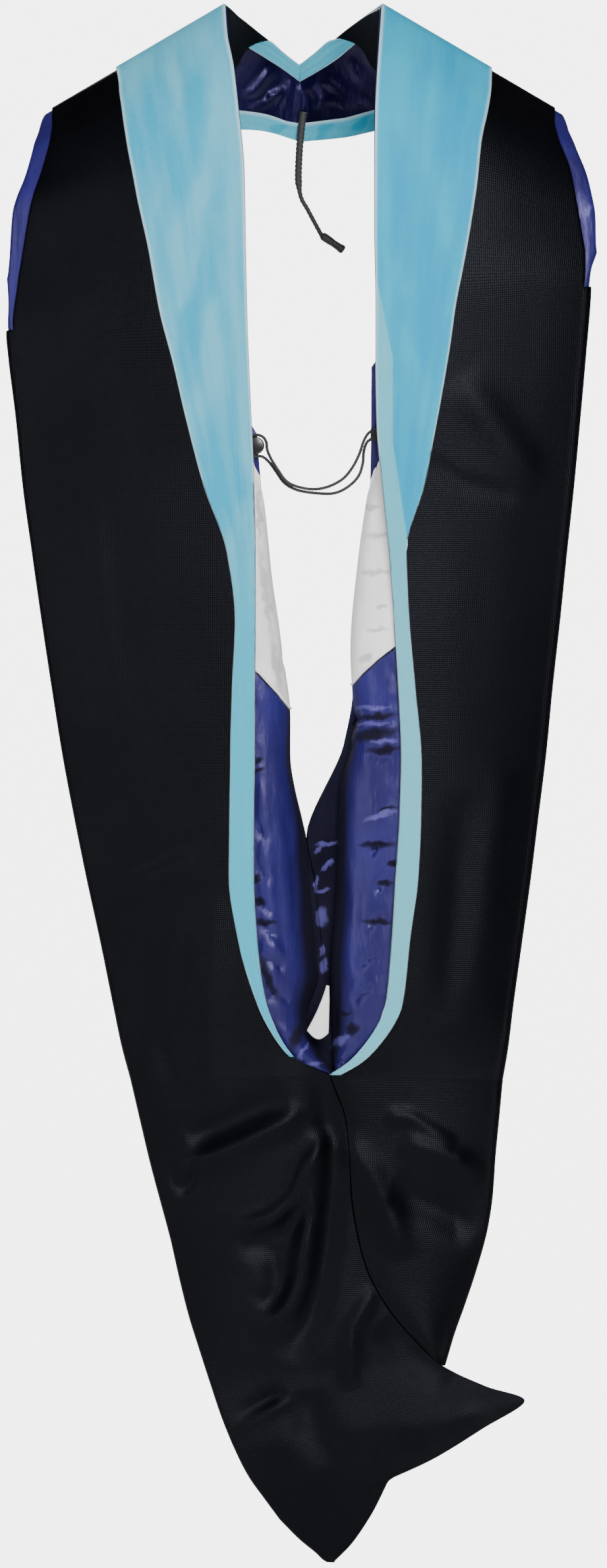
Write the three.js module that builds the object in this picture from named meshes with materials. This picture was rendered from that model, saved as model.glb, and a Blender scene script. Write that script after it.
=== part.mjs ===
// An academic hood, seen from the wearer's back along +Y, with +Z up and the origin between the shoulder peaks.
// Each half of the shell is one cloth that starts at the throat, passes over the shoulder ridge, hangs down the
// back, turns round an outer fold and comes back inwards behind itself. Every layer is an offset of that surface.
import * as THREE from "three";

// Driving dimensions, in millimetres
const HOOD_LENGTH = 1068;
const HOOD_WIDTH = 410;
const BACK_DEPTH = 72;
const FRONT_DEPTH = 88;
const TRIM_WIDTH = 79;
const LIP_WIDTH = 12.5;
const FOLD_RADIUS = 5;
const ROLL_HEIGHT = 24;
const NAPE_DIP = 14;
const CROWN = 5;

// Cloth and the air between its layers
const SHELL_CLOTH = 1.2;
const LINING_CLOTH = 1;
const VELVET_CLOTH = 1.6;
const BAND_CLOTH = 1;
const CLEARANCE = 0.35;
const SEAM_GAP = 0.3;
const SEAT_GAP = 0.9;

// Cords and their fittings
const FRONT_CORD_WIDTH = 3;
const CORD_TIP_WIDTH = 5;
const CORD_TIP_LENGTH = 17;
const BACK_CORD_WIDTH = 2.2;
const CORD_SIDES = 8;
const BUTTON_WIDTH = 12;
const BUTTON_HEIGHT = 4;
const BUTTON_SIDES = 20;
const CORD_TAB_WIDTH = 5;
const CORD_TAB_LENGTH = 9;
const CORD_TAB_HEIGHT = 2;
const WHITE_TAB_CLOTH = 0.8;

// The columns of a section. The near cloth runs from the mouth over the trim to the outer fold, the fold turns
// through half a circle, and the far cloth runs from the fold back to the hem.
const TRIM_CELLS = 3;
const PANEL_CELLS = 5;
const FOLD_CELLS = 4;
const FAR_AT = [0.3, 0.55, 0.7, 0.8, 0.88, 0.94, 0.975, 1];
const FAR_ROLL = [0, 0.35, 0.9, 1, 0.92, 0.6, 0.15, 0];
const FAR_DIP = [0, 0, 0, 0.05, 0.2, 0.6, 1, 1];
const HEM_DROOP_POWER = 4;
const NEAR_CELLS = TRIM_CELLS + PANEL_CELLS;
const LIP_COLUMN = NEAR_CELLS + FOLD_CELLS / 2;
const LAST_COLUMN = NEAR_CELLS + FOLD_CELLS + FAR_AT.length;

// Rows that mean something on the hood
const BAND_EDGE_ROW = 2;
const BAND_CORNER_ROW = 1;
const RIDGE_ROW = 4;
const NECK_EDGE_ROW = 10;
const CHEVRON_TOP_ROW = 11;
const CHEVRON_POINT_ROW = 15;
const NAPE_ROW = 17;
const TRIM_END_ROWS = { left: 22, right: 23 };
const MOUTH_END_ROW = 23;

// Sections of each half. Across is a share of half the width, down of the length, trim of the trim's width.
// Columns: mouth across, mouth down, outer across, outer down, hem across, hem down, trim
const LEFT_SECTIONS = [
  [-0.011, 0.0385, -0.011, 0.0874, null, null, 0.46],
  [-0.117, 0.0234, -0.158, 0.0797, null, null, 0.62],
  [-0.198, 0.0104, -0.372, 0.0775, null, null, 0.76],
  [-0.244, 0.0022, -0.643, 0.0745, null, null, 0.93],
  [-0.259, 0, -0.843, 0.0658, null, null, 1.1],
  [-0.253, 0.0182, -0.841, 0.0745, null, null, 1.05],
  [-0.232, 0.0398, -0.848, 0.0853, null, null, 1.04],
  [-0.216, 0.068, -0.875, 0.1048, null, null, 1.01],
  [-0.198, 0.1048, -0.911, 0.1264, null, null, 0.96],
  [-0.194, 0.1437, -0.954, 0.174, null, null, 0.86],
  [-0.189, 0.1913, -0.995, 0.2087, -0.156, 0.2758, 0.76],
  [-0.183, 0.226, -0.988, 0.226, -0.144, 0.3026, 0.67],
  [-0.174, 0.2649, -0.963, 0.2649, -0.129, 0.3364, 0.57],
  [-0.165, 0.3082, -0.94, 0.3082, -0.11, 0.3732, 0.44],
  [-0.16, 0.3515, -0.909, 0.3515, -0.081, 0.4121, 0.25],
  [-0.16, 0.3948, -0.877, 0.3948, -0.05, 0.4545, 0.18],
  [-0.162, 0.4381, -0.843, 0.4381, -0.043, 0.4879, 0.2],
  [-0.162, 0.4814, -0.807, 0.4814, 0.009, 0.5325, 0.215],
  [-0.165, 0.5203, -0.769, 0.5203, 0.038, 0.5636, 0.215],
  [-0.165, 0.5593, -0.728, 0.5593, 0.056, 0.5961, 0.22],
  [-0.153, 0.6026, -0.679, 0.6026, 0.074, 0.6264, 0.165],
  [-0.122, 0.6416, -0.638, 0.6416, 0.09, 0.6545, 0.085],
  [-0.032, 0.6753, -0.609, 0.6684, 0.104, 0.6727, 0.035],
  [0.086, 0.6866, -0.579, 0.69, 0.115, 0.6892, 0.02],
  [0.14, 0.716, -0.546, 0.7173, null, null, 0.1],
  [0.153, 0.7411, -0.514, 0.7433, null, null, 0.1],
  [0.16, 0.7641, -0.478, 0.7693, null, null, 0.1],
  [0.18, 0.7887, -0.446, 0.7922, null, null, 0.1],
  [0.214, 0.8126, -0.417, 0.8169, null, null, 0.1],
  [0.282, 0.8364, -0.386, 0.8407, null, null, 0.1],
  [0.365, 0.8558, -0.361, 0.8623, null, null, 0.1],
  [0.458, 0.8727, -0.327, 0.8861, null, null, 0.1],
  [0.609, 0.8866, -0.291, 0.9056, null, null, 0.1],
  [0.74, 0.8961, -0.237, 0.9273, null, null, 0.1],
  [0.598, 0.9143, -0.185, 0.9446, null, null, 0.1],
  [0.428, 0.9342, -0.129, 0.9597, null, null, 0.1],
  [0.286, 0.9468, -0.079, 0.9727, null, null, 0.1],
  [0.23, 0.9684, -0.011, 0.9857, null, null, 0.1],
  [0.158, 0.9887, 0.041, 0.9939, null, null, 0.06],
  [0.113, 0.9974, 0.065, 0.9983, null, null, 0.03],
];

const RIGHT_SECTIONS = [
  [-0.011, 0.0385, -0.011, 0.0874, null, null, 0.46],
  [0.095, 0.0234, 0.135, 0.0845, null, null, 0.62],
  [0.18, 0.0104, 0.354, 0.076, null, null, 0.76],
  [0.241, 0.0022, 0.627, 0.0745, null, null, 0.93],
  [0.259, 0, 0.843, 0.0658, null, null, 1.11],
  [0.253, 0.0182, 0.841, 0.0736, null, null, 1.08],
  [0.246, 0.0398, 0.855, 0.0853, null, null, 1.03],
  [0.239, 0.068, 0.893, 0.1048, null, null, 0.96],
  [0.237, 0.1048, 0.915, 0.1264, null, null, 0.9],
  [0.237, 0.1437, 0.943, 0.1576, null, null, 0.82],
  [0.241, 0.1913, 0.963, 0.1805, 0.228, 0.2325, 0.71],
  [0.241, 0.226, 0.945, 0.226, 0.223, 0.3048, 0.63],
  [0.244, 0.2649, 0.927, 0.2649, 0.205, 0.3342, 0.53],
  [0.262, 0.3082, 0.906, 0.3082, 0.18, 0.3732, 0.37],
  [0.286, 0.3515, 0.882, 0.3515, 0.169, 0.4056, 0.15],
  [0.302, 0.3948, 0.859, 0.3948, 0.165, 0.439, 0.135],
  [0.316, 0.4381, 0.834, 0.4381, 0.133, 0.4749, 0.15],
  [0.325, 0.4814, 0.812, 0.4814, 0.009, 0.5325, 0.18],
  [0.32, 0.5203, 0.787, 0.5203, 0.038, 0.5636, 0.19],
  [0.307, 0.5593, 0.762, 0.5593, 0.056, 0.5961, 0.2],
  [0.293, 0.6026, 0.731, 0.6026, 0.074, 0.6264, 0.16],
  [0.273, 0.6416, 0.703, 0.6416, 0.09, 0.6545, 0.15],
  [0.167, 0.6753, 0.685, 0.6697, 0.104, 0.6727, 0.14],
  [0.086, 0.6866, 0.667, 0.69, 0.115, 0.6892, 0.1],
  [0.14, 0.716, 0.656, 0.713, null, null, 0.1],
  [0.153, 0.7411, 0.643, 0.739, null, null, 0.1],
  [0.16, 0.7641, 0.634, 0.7636, null, null, 0.1],
  [0.18, 0.7887, 0.618, 0.7844, null, null, 0.1],
  [0.214, 0.8126, 0.582, 0.8104, null, null, 0.1],
  [0.282, 0.8364, 0.541, 0.8342, null, null, 0.1],
  [0.365, 0.8558, 0.505, 0.8537, null, null, 0.1],
  [0.428, 0.8675, 0.478, 0.8671, null, null, 0.04],
];

// How deep each section lies, the same on both halves. Places in front of the ridge are shares of the front
// depth, places behind it are negative shares of the back depth.
// Columns: mouth, outer edge, hem, crown, roll, dip, fold radius, lip
const DEPTHS = [
  [0.86, 0.97, 0, 0.2, 0, 0, 1, 0],
  [0.71, 0.87, 0, 0.2, 0, 0, 1, 0],
  [0.44, 0.7, 0, 0, 0, 0, 1, 0],
  [0.16, 0.38, 0, 0, 0, 0, 1, 0],
  [0, 0, 0, 0, 0, 0, 1, 0.5],
  [-0.33, -0.12, 0, 0.4, 0, 0, 1, 0.9],
  [-0.55, -0.24, 0, 0.8, 0, 0, 1, 1.05],
  [-0.72, -0.35, 0, 1, 0, 0, 1, 1],
  [-0.83, -0.44, 0, 1, 0, 0, 1, 1],
  [-0.88, -0.5, 0, 1, 0, 0, 1, 0.7],
  [-0.91, -0.55, -0.5, 1, 0, 0, 1, 0.7],
  [-0.92, -0.56, -0.5, 1, 0, 0, 1, 0],
  [-0.93, -0.56, -0.5, 1, 0.3, 0, 1, 0],
  [-0.93, -0.56, -0.5, 1, 0.5, 0, 1, 0],
  [-0.93, -0.56, -0.5, 1, 0.7, 0, 1, 0],
  [-0.93, -0.56, -0.5, 1, 0.85, 0, 1, 0],
  [-0.93, -0.56, -0.5, 1, 1, 0.2, 1, 0],
  [-0.93, -0.56, -0.48, 1, 1, 0.6, 1, 0],
  [-0.93, -0.56, -0.46, 1, 1, 1, 1, 0],
  [-0.92, -0.56, -0.46, 1, 1, 1, 1, 0],
  [-0.91, -0.57, -0.46, 1, 1, 1, 1, 0],
  [-0.89, -0.58, -0.48, 1, 0.8, 0.8, 1, 0],
  [-0.85, -0.59, -0.5, 1, 0.5, 0.5, 1, 0],
  [-0.81, -0.6, -0.52, 1, 0.25, 0.2, 1, 0],
  [-0.78, -0.61, -0.53, 1, 0, 0, 0.95, 0],
  [-0.76, -0.61, -0.54, 1, 0, 0, 0.9, 0],
  [-0.74, -0.61, -0.54, 1, 0, 0, 0.85, 0],
  [-0.73, -0.61, -0.54, 1, 0, 0, 0.8, 0],
  [-0.72, -0.61, -0.54, 1, 0, 0, 0.75, 0],
  [-0.71, -0.61, -0.54, 1, 0, 0, 0.7, 0],
  [-0.7, -0.61, -0.54, 1, 0, 0, 0.65, 0],
  [-0.69, -0.61, -0.54, 0.6, 0, 0, 0.6, 0],
  [-0.67, -0.61, -0.54, 0.6, 0, 0, 0.6, 0],
  [-0.65, -0.61, -0.55, 0.6, 0, 0, 0.55, 0],
  [-0.65, -0.61, -0.55, 0.5, 0, 0, 0.55, 0],
  [-0.65, -0.61, -0.55, 0.4, 0, 0, 0.5, 0],
  [-0.64, -0.61, -0.55, 0.3, 0, 0, 0.5, 0],
  [-0.63, -0.61, -0.55, 0.2, 0, 0, 0.5, 0],
  [-0.62, -0.61, -0.55, 0, 0, 0, 0.45, 0],
  [-0.61, -0.61, -0.55, 0, 0, 0, 0.4, 0],
];

// Folds and dents of the near cloth, as lines from one place to another. A height above nought stands towards
// the outside. Columns: from across, from down, to across, to down, reach (of the trim's width), height
const FOLDS = [
  [-0.67, 0.565, -0.35, 0.537, 0.12, -1.8],
  [-0.363, 0.744, -0.061, 0.72, 0.16, 4.5],
  [-0.103, 0.778, 0.083, 0.727, 0.15, 4],
  [0.05, 0.741, -0.11, 0.849, 0.2, 6],
  [-0.23, 0.918, -0.061, 0.895, 0.15, 3],
  [-0.4, 0.755, -0.37, 0.745, 0.14, -3],
  [0.318, 0.76, 0.597, 0.785, 0.24, -3.5],
  [0.352, 0.732, 0.597, 0.749, 0.16, 4],
  [0.53, 0.245, 0.77, 0.305, 0.25, 2.5],
];

// Where the back cord is fastened, on the lining: row and column of the section grid
const BUTTON_AT = [10.35, LAST_COLUMN - 0.35];
const CORD_TAB_AT = [10.65, LAST_COLUMN - 0.6];

// Cord routes, chosen by hand, in millimetres
const FRONT_CORD_ROUTE = [
  [0, 77, -73],
  [-1.2, 76.4, -82],
  [-2.4, 76, -94],
  [-3.2, 75.6, -107],
  [-3.4, 75.2, -121],
  [-1.6, 75, -132],
  [2.4, 75, -139],
  [7, 75, -147],
  [11.2, 75, -155],
];
const CORD_TIP_END = [27, 75, -167];
const BACK_CORD_ROUTE = [
  [47.6, -43.5, -291.2],
  [44, -45.6, -294],
  [41, -47.2, -299.5],
  [38.6, -47.6, -306.8],
  [34.2, -47.6, -315.8],
  [27.3, -47.4, -324.4],
  [17.1, -47.2, -330],
  [7.4, -47, -331.8],
  [-4.4, -46.8, -330],
  [-11.6, -46.4, -326.4],
  [-17.6, -45.4, -318.4],
  [-22.4, -44, -310.6],
  [-24.3, -42.2, -304.6],
  [-24.7, -41.4, -299.6],
  [-27.2, -41.2, -295.4],
  [-32, -41.2, -293.6],
  [-37.2, -41.2, -295.4],
  [-40.3, -41.4, -300.6],
  [-38.8, -41.6, -306.6],
  [-33.6, -42.2, -309.6],
  [-28.6, -43, -311.6],
  [-24.6, -43.6, -313.6],
  [-19.8, -44, -320],
  [-13.6, -44.2, -328],
  [-5.6, -44.4, -332.4],
  [9.5, -44.4, -334.6],
  [21.7, -44.4, -334.4],
  [30.4, -44.4, -330.2],
  [37.6, -44.4, -323],
  [40.6, -44.4, -314.2],
  [41.4, -44.2, -305.6],
  [43.6, -43.8, -299.6],
  [47.4, -43.4, -296.6],
];

const half = HOOD_WIDTH / 2;

function place(across, down) {
  return new THREE.Vector3(across * half, 0, -down * HOOD_LENGTH);
}

function depth(share) {
  return share * (share > 0 ? FRONT_DEPTH : BACK_DEPTH);
}

function distanceToLine(x, z, from, to) {
  const run = to.clone().sub(from);
  const away = new THREE.Vector3(x, 0, z).sub(from);
  const along = THREE.MathUtils.clamp(away.dot(run) / run.lengthSq(), 0, 1);
  return away.sub(run.multiplyScalar(along)).length();
}

// How far the near cloth stands out at a place, from the table of folds
function foldHeight(x, z) {
  let height = 0;
  for (const [fromAcross, fromDown, toAcross, toDown, reach, rise] of FOLDS) {
    const away = distanceToLine(x, z, place(fromAcross, fromDown), place(toAcross, toDown));
    height += rise * Math.exp(-((away / (reach * TRIM_WIDTH)) ** 2));
  }
  return height;
}

// One section of a half, as its points from the mouth round the outer fold to the hem
function sectionPoints(row, section, depths) {
  const [mouthAcross, mouthDown, outerAcross, outerDown, hemAcross, hemDown, trim] = section;
  const [mouthDepth, outerDepth, hemDepth, crown, roll, dip, foldShare, lip] = depths;
  const mouth = place(mouthAcross, mouthDown);
  const outer = place(outerAcross, outerDown);
  const folded = row >= NECK_EDGE_ROW;
  const outwards = outer.clone().sub(mouth).normalize();
  const radius = FOLD_RADIUS * foldShare;
  const turn = folded ? outer.clone().addScaledVector(outwards, -radius) : outer;
  const trimShare = Math.min((trim * TRIM_WIDTH) / mouth.distanceTo(turn), 0.75);
  const points = [];
  for (let column = 0; column <= NEAR_CELLS; column += 1) {
    const inTrim = column <= TRIM_CELLS;
    const beyond = trimShare + ((1 - trimShare) * (column - TRIM_CELLS)) / PANEL_CELLS;
    const share = inTrim ? (trimShare * column) / TRIM_CELLS : beyond;
    const point = mouth.clone().lerp(turn, share);
    const hollow = depth(mouthDepth) * (1 - share) + depth(outerDepth) * share;
    const swell = crown * CROWN * 4 * share * (1 - share);
    const onFolds = row > RIDGE_ROW ? foldHeight(point.x, point.z) * Math.min(1, 4 * (1 - share)) : 0;
    const facing = row < RIDGE_ROW ? -1 : 1;
    point.y = hollow - facing * swell - onFolds;
    points.push(point);
  }
  const turnDepth = depth(outerDepth);
  for (let column = 1; column <= FOLD_CELLS; column += 1) {
    const angle = Math.PI * (column / FOLD_CELLS - 0.5);
    const point = turn.clone();
    if (folded) {
      point.addScaledVector(outwards, radius * Math.cos(angle));
      point.y = turnDepth + radius * (1 + Math.sin(angle));
    } else {
      const out = Math.min(column, FOLD_CELLS / 2 + column / 100) / (FOLD_CELLS / 2);
      point.addScaledVector(outwards, out * lip * LIP_WIDTH);
      point.y = turnDepth + out * out * 2;
    }
    points.push(point);
  }
  const hem = hemAcross === null ? mouth : place(hemAcross, hemDown);
  for (let column = 0; column < FAR_AT.length; column += 1) {
    const share = FAR_AT[column];
    const point = turn.clone().lerp(hem, share);
    point.z = turn.z + (hem.z - turn.z) * share ** HEM_DROOP_POWER;
    const flat = (turnDepth + 2 * radius) * (1 - share) + depth(hemDepth) * share;
    point.y = flat - roll * ROLL_HEIGHT * FAR_ROLL[column] + dip * NAPE_DIP * FAR_DIP[column];
    points.push(point);
  }
  return points;
}

function isCloth(row, column) {
  return row >= NECK_EDGE_ROW || column <= LIP_COLUMN;
}

// The normal at a grid point, from its neighbours that are cloth
function gridNormal(points, row, column) {
  const at = (r, c) => (r >= 0 && r < points.length && c >= 0 && c <= LAST_COLUMN && isCloth(r, c) ? points[r][c] : null);
  const here = points[row][column];
  const along = (at(row + 1, column) ?? here).clone().sub(at(row - 1, column) ?? here);
  const across = (at(row, column + 1) ?? here).clone().sub(at(row, column - 1) ?? here);
  return along.cross(across).normalize();
}

// The surface of one half: points and outward normals, row by row
function halfSurface(sections) {
  const points = sections.map((section, row) => sectionPoints(row, section, DEPTHS[row]));
  const normals = points.map((line, row) => line.map((_, column) => gridNormal(points, row, column)));
  if (normals[CHEVRON_POINT_ROW][NEAR_CELLS - 2].y > 0) {
    normals.forEach((line) => line.forEach((normal) => normal.negate()));
  }
  return { points, normals };
}

// Neighbours along a seam share their normals there
function matchNormals(first, second, row, column) {
  const shared = first.normals[row][column].clone().add(second.normals[row][column]).normalize();
  first.normals[row][column].copy(shared);
  second.normals[row][column].copy(shared);
}

// Moves a line of points towards its neighbour line, which leaves half a seam gap
function drawIn(line, neighbour) {
  return line.map((point, i) => {
    const step = neighbour[i].clone().sub(point);
    return point.clone().addScaledVector(step.normalize(), SEAM_GAP / 2);
  });
}

function drawInSeams(surface) {
  const { points } = surface;
  points[0] = drawIn(points[0], points[1]);
  for (const line of points) {
    const [first, last] = drawIn([line[0], line[LAST_COLUMN]], [line[1], line[LAST_COLUMN - 1]]);
    line[0] = first;
    line[LAST_COLUMN] = last;
  }
}

// Some rows of a surface as a grid of their own, drawn in at the first and last row where they meet another piece
function rowsOf(surface, from, to, { drawFirst = true, drawLast = true } = {}) {
  const points = surface.points.slice(from, to + 1);
  const normals = surface.normals.slice(from, to + 1);
  if (drawFirst) points[0] = drawIn(points[0], points[1]);
  if (drawLast) points[points.length - 1] = drawIn(points[points.length - 1], points[points.length - 2]);
  return { points, normals };
}

// The neck band: both halves' rows from ridge to ridge across the throat
function bandRows(left, right, rows) {
  const middle = left.points[0].map((point, i) => point.clone().lerp(right.points[0][i], 0.5));
  const leftRows = left.points.slice(1, rows + 1).reverse();
  const leftNormals = left.normals.slice(1, rows + 1).reverse();
  const surface = {
    points: [...leftRows, middle, ...right.points.slice(1, rows + 1)],
    normals: [...leftNormals, left.normals[0], ...right.normals.slice(1, rows + 1)],
  };
  return rowsOf(surface, 0, 2 * rows);
}

// A closed sheet between two offsets of a grid, over the cells that keep(row, column) picks
function sheetGeometry({ points, normals }, outer, inner, keep) {
  const rows = points.length - 1;
  const columns = points[0].length - 1;
  const kept = (row, column) => row >= 0 && row < rows && column >= 0 && column < columns && keep(row, column);
  const positions = [];
  const numbers = new Map();
  const vertex = (row, column, side) => {
    const key = `${row} ${column} ${side}`;
    if (!numbers.has(key)) {
      const offset = side === 0 ? outer : inner;
      const point = points[row][column].clone().addScaledVector(normals[row][column], offset);
      numbers.set(key, positions.length / 3);
      positions.push(point.x, point.y, point.z);
    }
    return numbers.get(key);
  };
  const index = [];
  const quad = (a, b, c, d) => index.push(a, b, c, a, c, d);
  for (let row = 0; row < rows; row += 1) {
    for (let column = 0; column < columns; column += 1) {
      if (!kept(row, column)) continue;
      const corners = [[row, column], [row, column + 1], [row + 1, column + 1], [row + 1, column]];
      const [a, b, c, d] = corners.map(([r, k]) => vertex(r, k, 0));
      const [e, f, g, h] = corners.map(([r, k]) => vertex(r, k, 1));
      const [from, beside, across, below] = corners.map(([r, k]) => points[r][k]);
      if (from.distanceTo(across) < beside.distanceTo(below)) {
        quad(a, b, c, d);
        quad(e, h, g, f);
      } else {
        quad(b, c, d, a);
        quad(f, e, h, g);
      }
      if (!kept(row - 1, column)) quad(a, e, f, b);
      if (!kept(row, column + 1)) quad(b, f, g, c);
      if (!kept(row + 1, column)) quad(c, g, h, d);
      if (!kept(row, column - 1)) quad(d, h, e, a);
    }
  }
  return facingOut(positions, index);
}

// A geometry whose faces point outwards, whichever way round they were written
function facingOut(positions, index) {
  const geometry = new THREE.BufferGeometry();
  geometry.setAttribute("position", new THREE.Float32BufferAttribute(positions, 3));
  const corner = (i) => new THREE.Vector3().fromArray(positions, 3 * index[i]);
  let volume = 0;
  for (let i = 0; i < index.length; i += 3) {
    volume += corner(i).dot(corner(i + 1).cross(corner(i + 2)));
  }
  if (volume < 0) {
    for (let i = 0; i < index.length; i += 3) [index[i], index[i + 1]] = [index[i + 1], index[i]];
  }
  geometry.setIndex(index);
  geometry.computeVertexNormals();
  return geometry;
}

// A place on a half's surface between grid points, with the normal there
function surfaceAt({ points, normals }, row, column) {
  const r = Math.min(Math.floor(row), points.length - 2);
  const c = Math.min(Math.floor(column), LAST_COLUMN - 1);
  const mix = (grid) => {
    const upper = grid[r][c].clone().lerp(grid[r][c + 1], column - c);
    const lower = grid[r + 1][c].clone().lerp(grid[r + 1][c + 1], column - c);
    return upper.lerp(lower, row - r);
  };
  return { point: mix(points), normal: mix(normals).normalize() };
}

// Finishes
const finish = (color, roughness) => new THREE.MeshStandardMaterial({ color, roughness, metalness: 0 });
const BLACK_CLOTH = finish(0x121216, 0.85);
const BLUE_VELVET = finish(0x62b9cf, 0.95);
const NAVY_SATIN = finish(0x2b2d6e, 0.38);
const WHITE_SATIN = finish(0xd8d4d4, 0.42);
const BLACK_CORD = finish(0x0d0d10, 0.7);
const BLACK_PLASTIC = finish(0x101012, 0.35);

const hood = new THREE.Group();

function add(name, geometry, material) {
  const mesh = new THREE.Mesh(geometry, material);
  mesh.name = name;
  hood.add(mesh);
  return mesh;
}

// Offsets of the layers from the outside of the shell
const SHELL = [0, -SHELL_CLOTH];
const VELVET = [CLEARANCE + VELVET_CLOTH, CLEARANCE];
const LINING = [-SHELL_CLOTH - CLEARANCE, -SHELL_CLOTH - CLEARANCE - LINING_CLOTH];
const BAND = [LINING[1] - CLEARANCE, LINING[1] - CLEARANCE - BAND_CLOTH];

const left = halfSurface(LEFT_SECTIONS);
const right = halfSurface(RIGHT_SECTIONS);
for (let column = 0; column <= NEAR_CELLS; column += 1) matchNormals(left, right, 0, column);
for (let row = MOUTH_END_ROW; row < RIGHT_SECTIONS.length; row += 1) matchNormals(left, right, row, 0);
for (let row = NAPE_ROW; row < RIGHT_SECTIONS.length; row += 1) matchNormals(left, right, row, LAST_COLUMN);
drawInSeams(left);
drawInSeams(right);

function buildShell(name, surface) {
  const keep = (row, column) => column < NEAR_CELLS || row >= NECK_EDGE_ROW;
  add(name, sheetGeometry(surface, ...SHELL, keep), BLACK_CLOTH);
}

function buildVelvet(side, surface) {
  const keep = (row, column) => column < TRIM_CELLS || (row < BAND_EDGE_ROW && column < NEAR_CELLS);
  const rows = rowsOf(surface, 0, TRIM_END_ROWS[side], { drawFirst: false });
  add(`velvet_${side}`, sheetGeometry(rows, ...VELVET, keep), BLUE_VELVET);
}

// The lining is cut across at the chevron, and above the neck edge it stands out past the shell as a lip
function buildLining(side, surface) {
  const parts = [
    ["lining_upper", RIDGE_ROW, CHEVRON_TOP_ROW, NAVY_SATIN],
    ["lining_chevron", CHEVRON_TOP_ROW, CHEVRON_POINT_ROW, WHITE_SATIN],
    ["lining_lower", CHEVRON_POINT_ROW, MOUTH_END_ROW, NAVY_SATIN],
  ];
  for (const [name, from, to, material] of parts) {
    const keep = (row, column) => column < LIP_COLUMN || row + from >= NECK_EDGE_ROW;
    add(`${name}_${side}`, sheetGeometry(rowsOf(surface, from, to), ...LINING, keep), material);
  }
}

// The inner face of the neck band: satin, a velvet strip along its top that is black by the peaks, and a binding
function buildNeckBand() {
  const lining = bandRows(left, right, RIDGE_ROW);
  add("neckband_lining", sheetGeometry(lining, ...LINING, (row, column) => column < NEAR_CELLS), NAVY_SATIN);
  const strip = bandRows(left, right, BAND_CORNER_ROW);
  add("neckband_strip", sheetGeometry(strip, ...BAND, (row, column) => column < 1), BLUE_VELVET);
  const binding = bandRows(left, right, BAND_EDGE_ROW);
  const isBinding = (row, column) => column >= TRIM_CELLS + 1 && column < NEAR_CELLS;
  add("neckband_binding", sheetGeometry(binding, ...BAND, isBinding), BLUE_VELVET);
  for (const [side, surface] of [["left", left], ["right", right]]) {
    const rows = rowsOf(surface, BAND_CORNER_ROW, RIDGE_ROW);
    add(`neckband_corner_${side}`, sheetGeometry(rows, ...BAND, (row, column) => column < 1), BLACK_CLOTH);
  }
}

// A round cord along a smooth curve through its points
function cordGeometry(route, width, stepsPerWidth) {
  const curve = new THREE.CatmullRomCurve3(route.map((point) => new THREE.Vector3(...point)), false, "centripetal");
  const section = new THREE.Shape();
  for (let side = 0; side < CORD_SIDES; side += 1) {
    const angle = (2 * Math.PI * side) / CORD_SIDES;
    const corner = [(width / 2) * Math.cos(angle), (width / 2) * Math.sin(angle)];
    if (side === 0) section.moveTo(...corner);
    else section.lineTo(...corner);
  }
  section.closePath();
  const steps = Math.ceil(curve.getLength() / (stepsPerWidth * width));
  return new THREE.ExtrudeGeometry(section, { extrudePath: curve, steps, curveSegments: 1 });
}

// The tip is a knot that tapers to its end
function buildCordTip() {
  const start = new THREE.Vector3(...FRONT_CORD_ROUTE[FRONT_CORD_ROUTE.length - 1]);
  const run = new THREE.Vector3(...CORD_TIP_END).sub(start).normalize();
  const radius = CORD_TIP_WIDTH / 2;
  const profile = [
    [0, 0],
    [0.55 * radius, 0],
    [radius, 0.12 * CORD_TIP_LENGTH],
    [radius, 0.4 * CORD_TIP_LENGTH],
    [0.6 * radius, 0.52 * CORD_TIP_LENGTH],
    [0.6 * radius, 0.94 * CORD_TIP_LENGTH],
    [0, CORD_TIP_LENGTH],
  ].map(([x, y]) => new THREE.Vector2(x, y));
  const tip = add("cord_tip", new THREE.LatheGeometry(profile, CORD_SIDES), BLACK_CORD);
  tip.quaternion.setFromUnitVectors(new THREE.Vector3(0, 1, 0), run);
  tip.position.copy(start).addScaledVector(run, SEAT_GAP);
}

// A fitting that sits on the inner face of the lining, its own Z axis along the normal there
function seat(mesh, surface, [row, column]) {
  const { point, normal } = surfaceAt(surface, row, column);
  const inwards = normal.clone().negate();
  mesh.quaternion.setFromUnitVectors(new THREE.Vector3(0, 0, 1), inwards);
  mesh.position.copy(point).addScaledVector(inwards, -LINING[1] + SEAT_GAP);
}

function buildBackCordFittings() {
  const rim = BUTTON_WIDTH / 2;
  const profile = [
    [0, 0],
    [0.9 * rim, 0],
    [rim, 0.2 * BUTTON_HEIGHT],
    [rim, 0.75 * BUTTON_HEIGHT],
    [0.85 * rim, BUTTON_HEIGHT],
    [0, BUTTON_HEIGHT],
  ].map(([x, y]) => new THREE.Vector2(x, y));
  const round = new THREE.LatheGeometry(profile, BUTTON_SIDES).rotateX(Math.PI / 2);
  seat(add("cord_button", round, BLACK_PLASTIC), left, BUTTON_AT);
  const box = new THREE.BoxGeometry(CORD_TAB_WIDTH, CORD_TAB_LENGTH, CORD_TAB_HEIGHT);
  box.translate(0, 0, CORD_TAB_HEIGHT / 2);
  seat(add("cord_tab", box, BLACK_CORD), right, CORD_TAB_AT);
}

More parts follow.
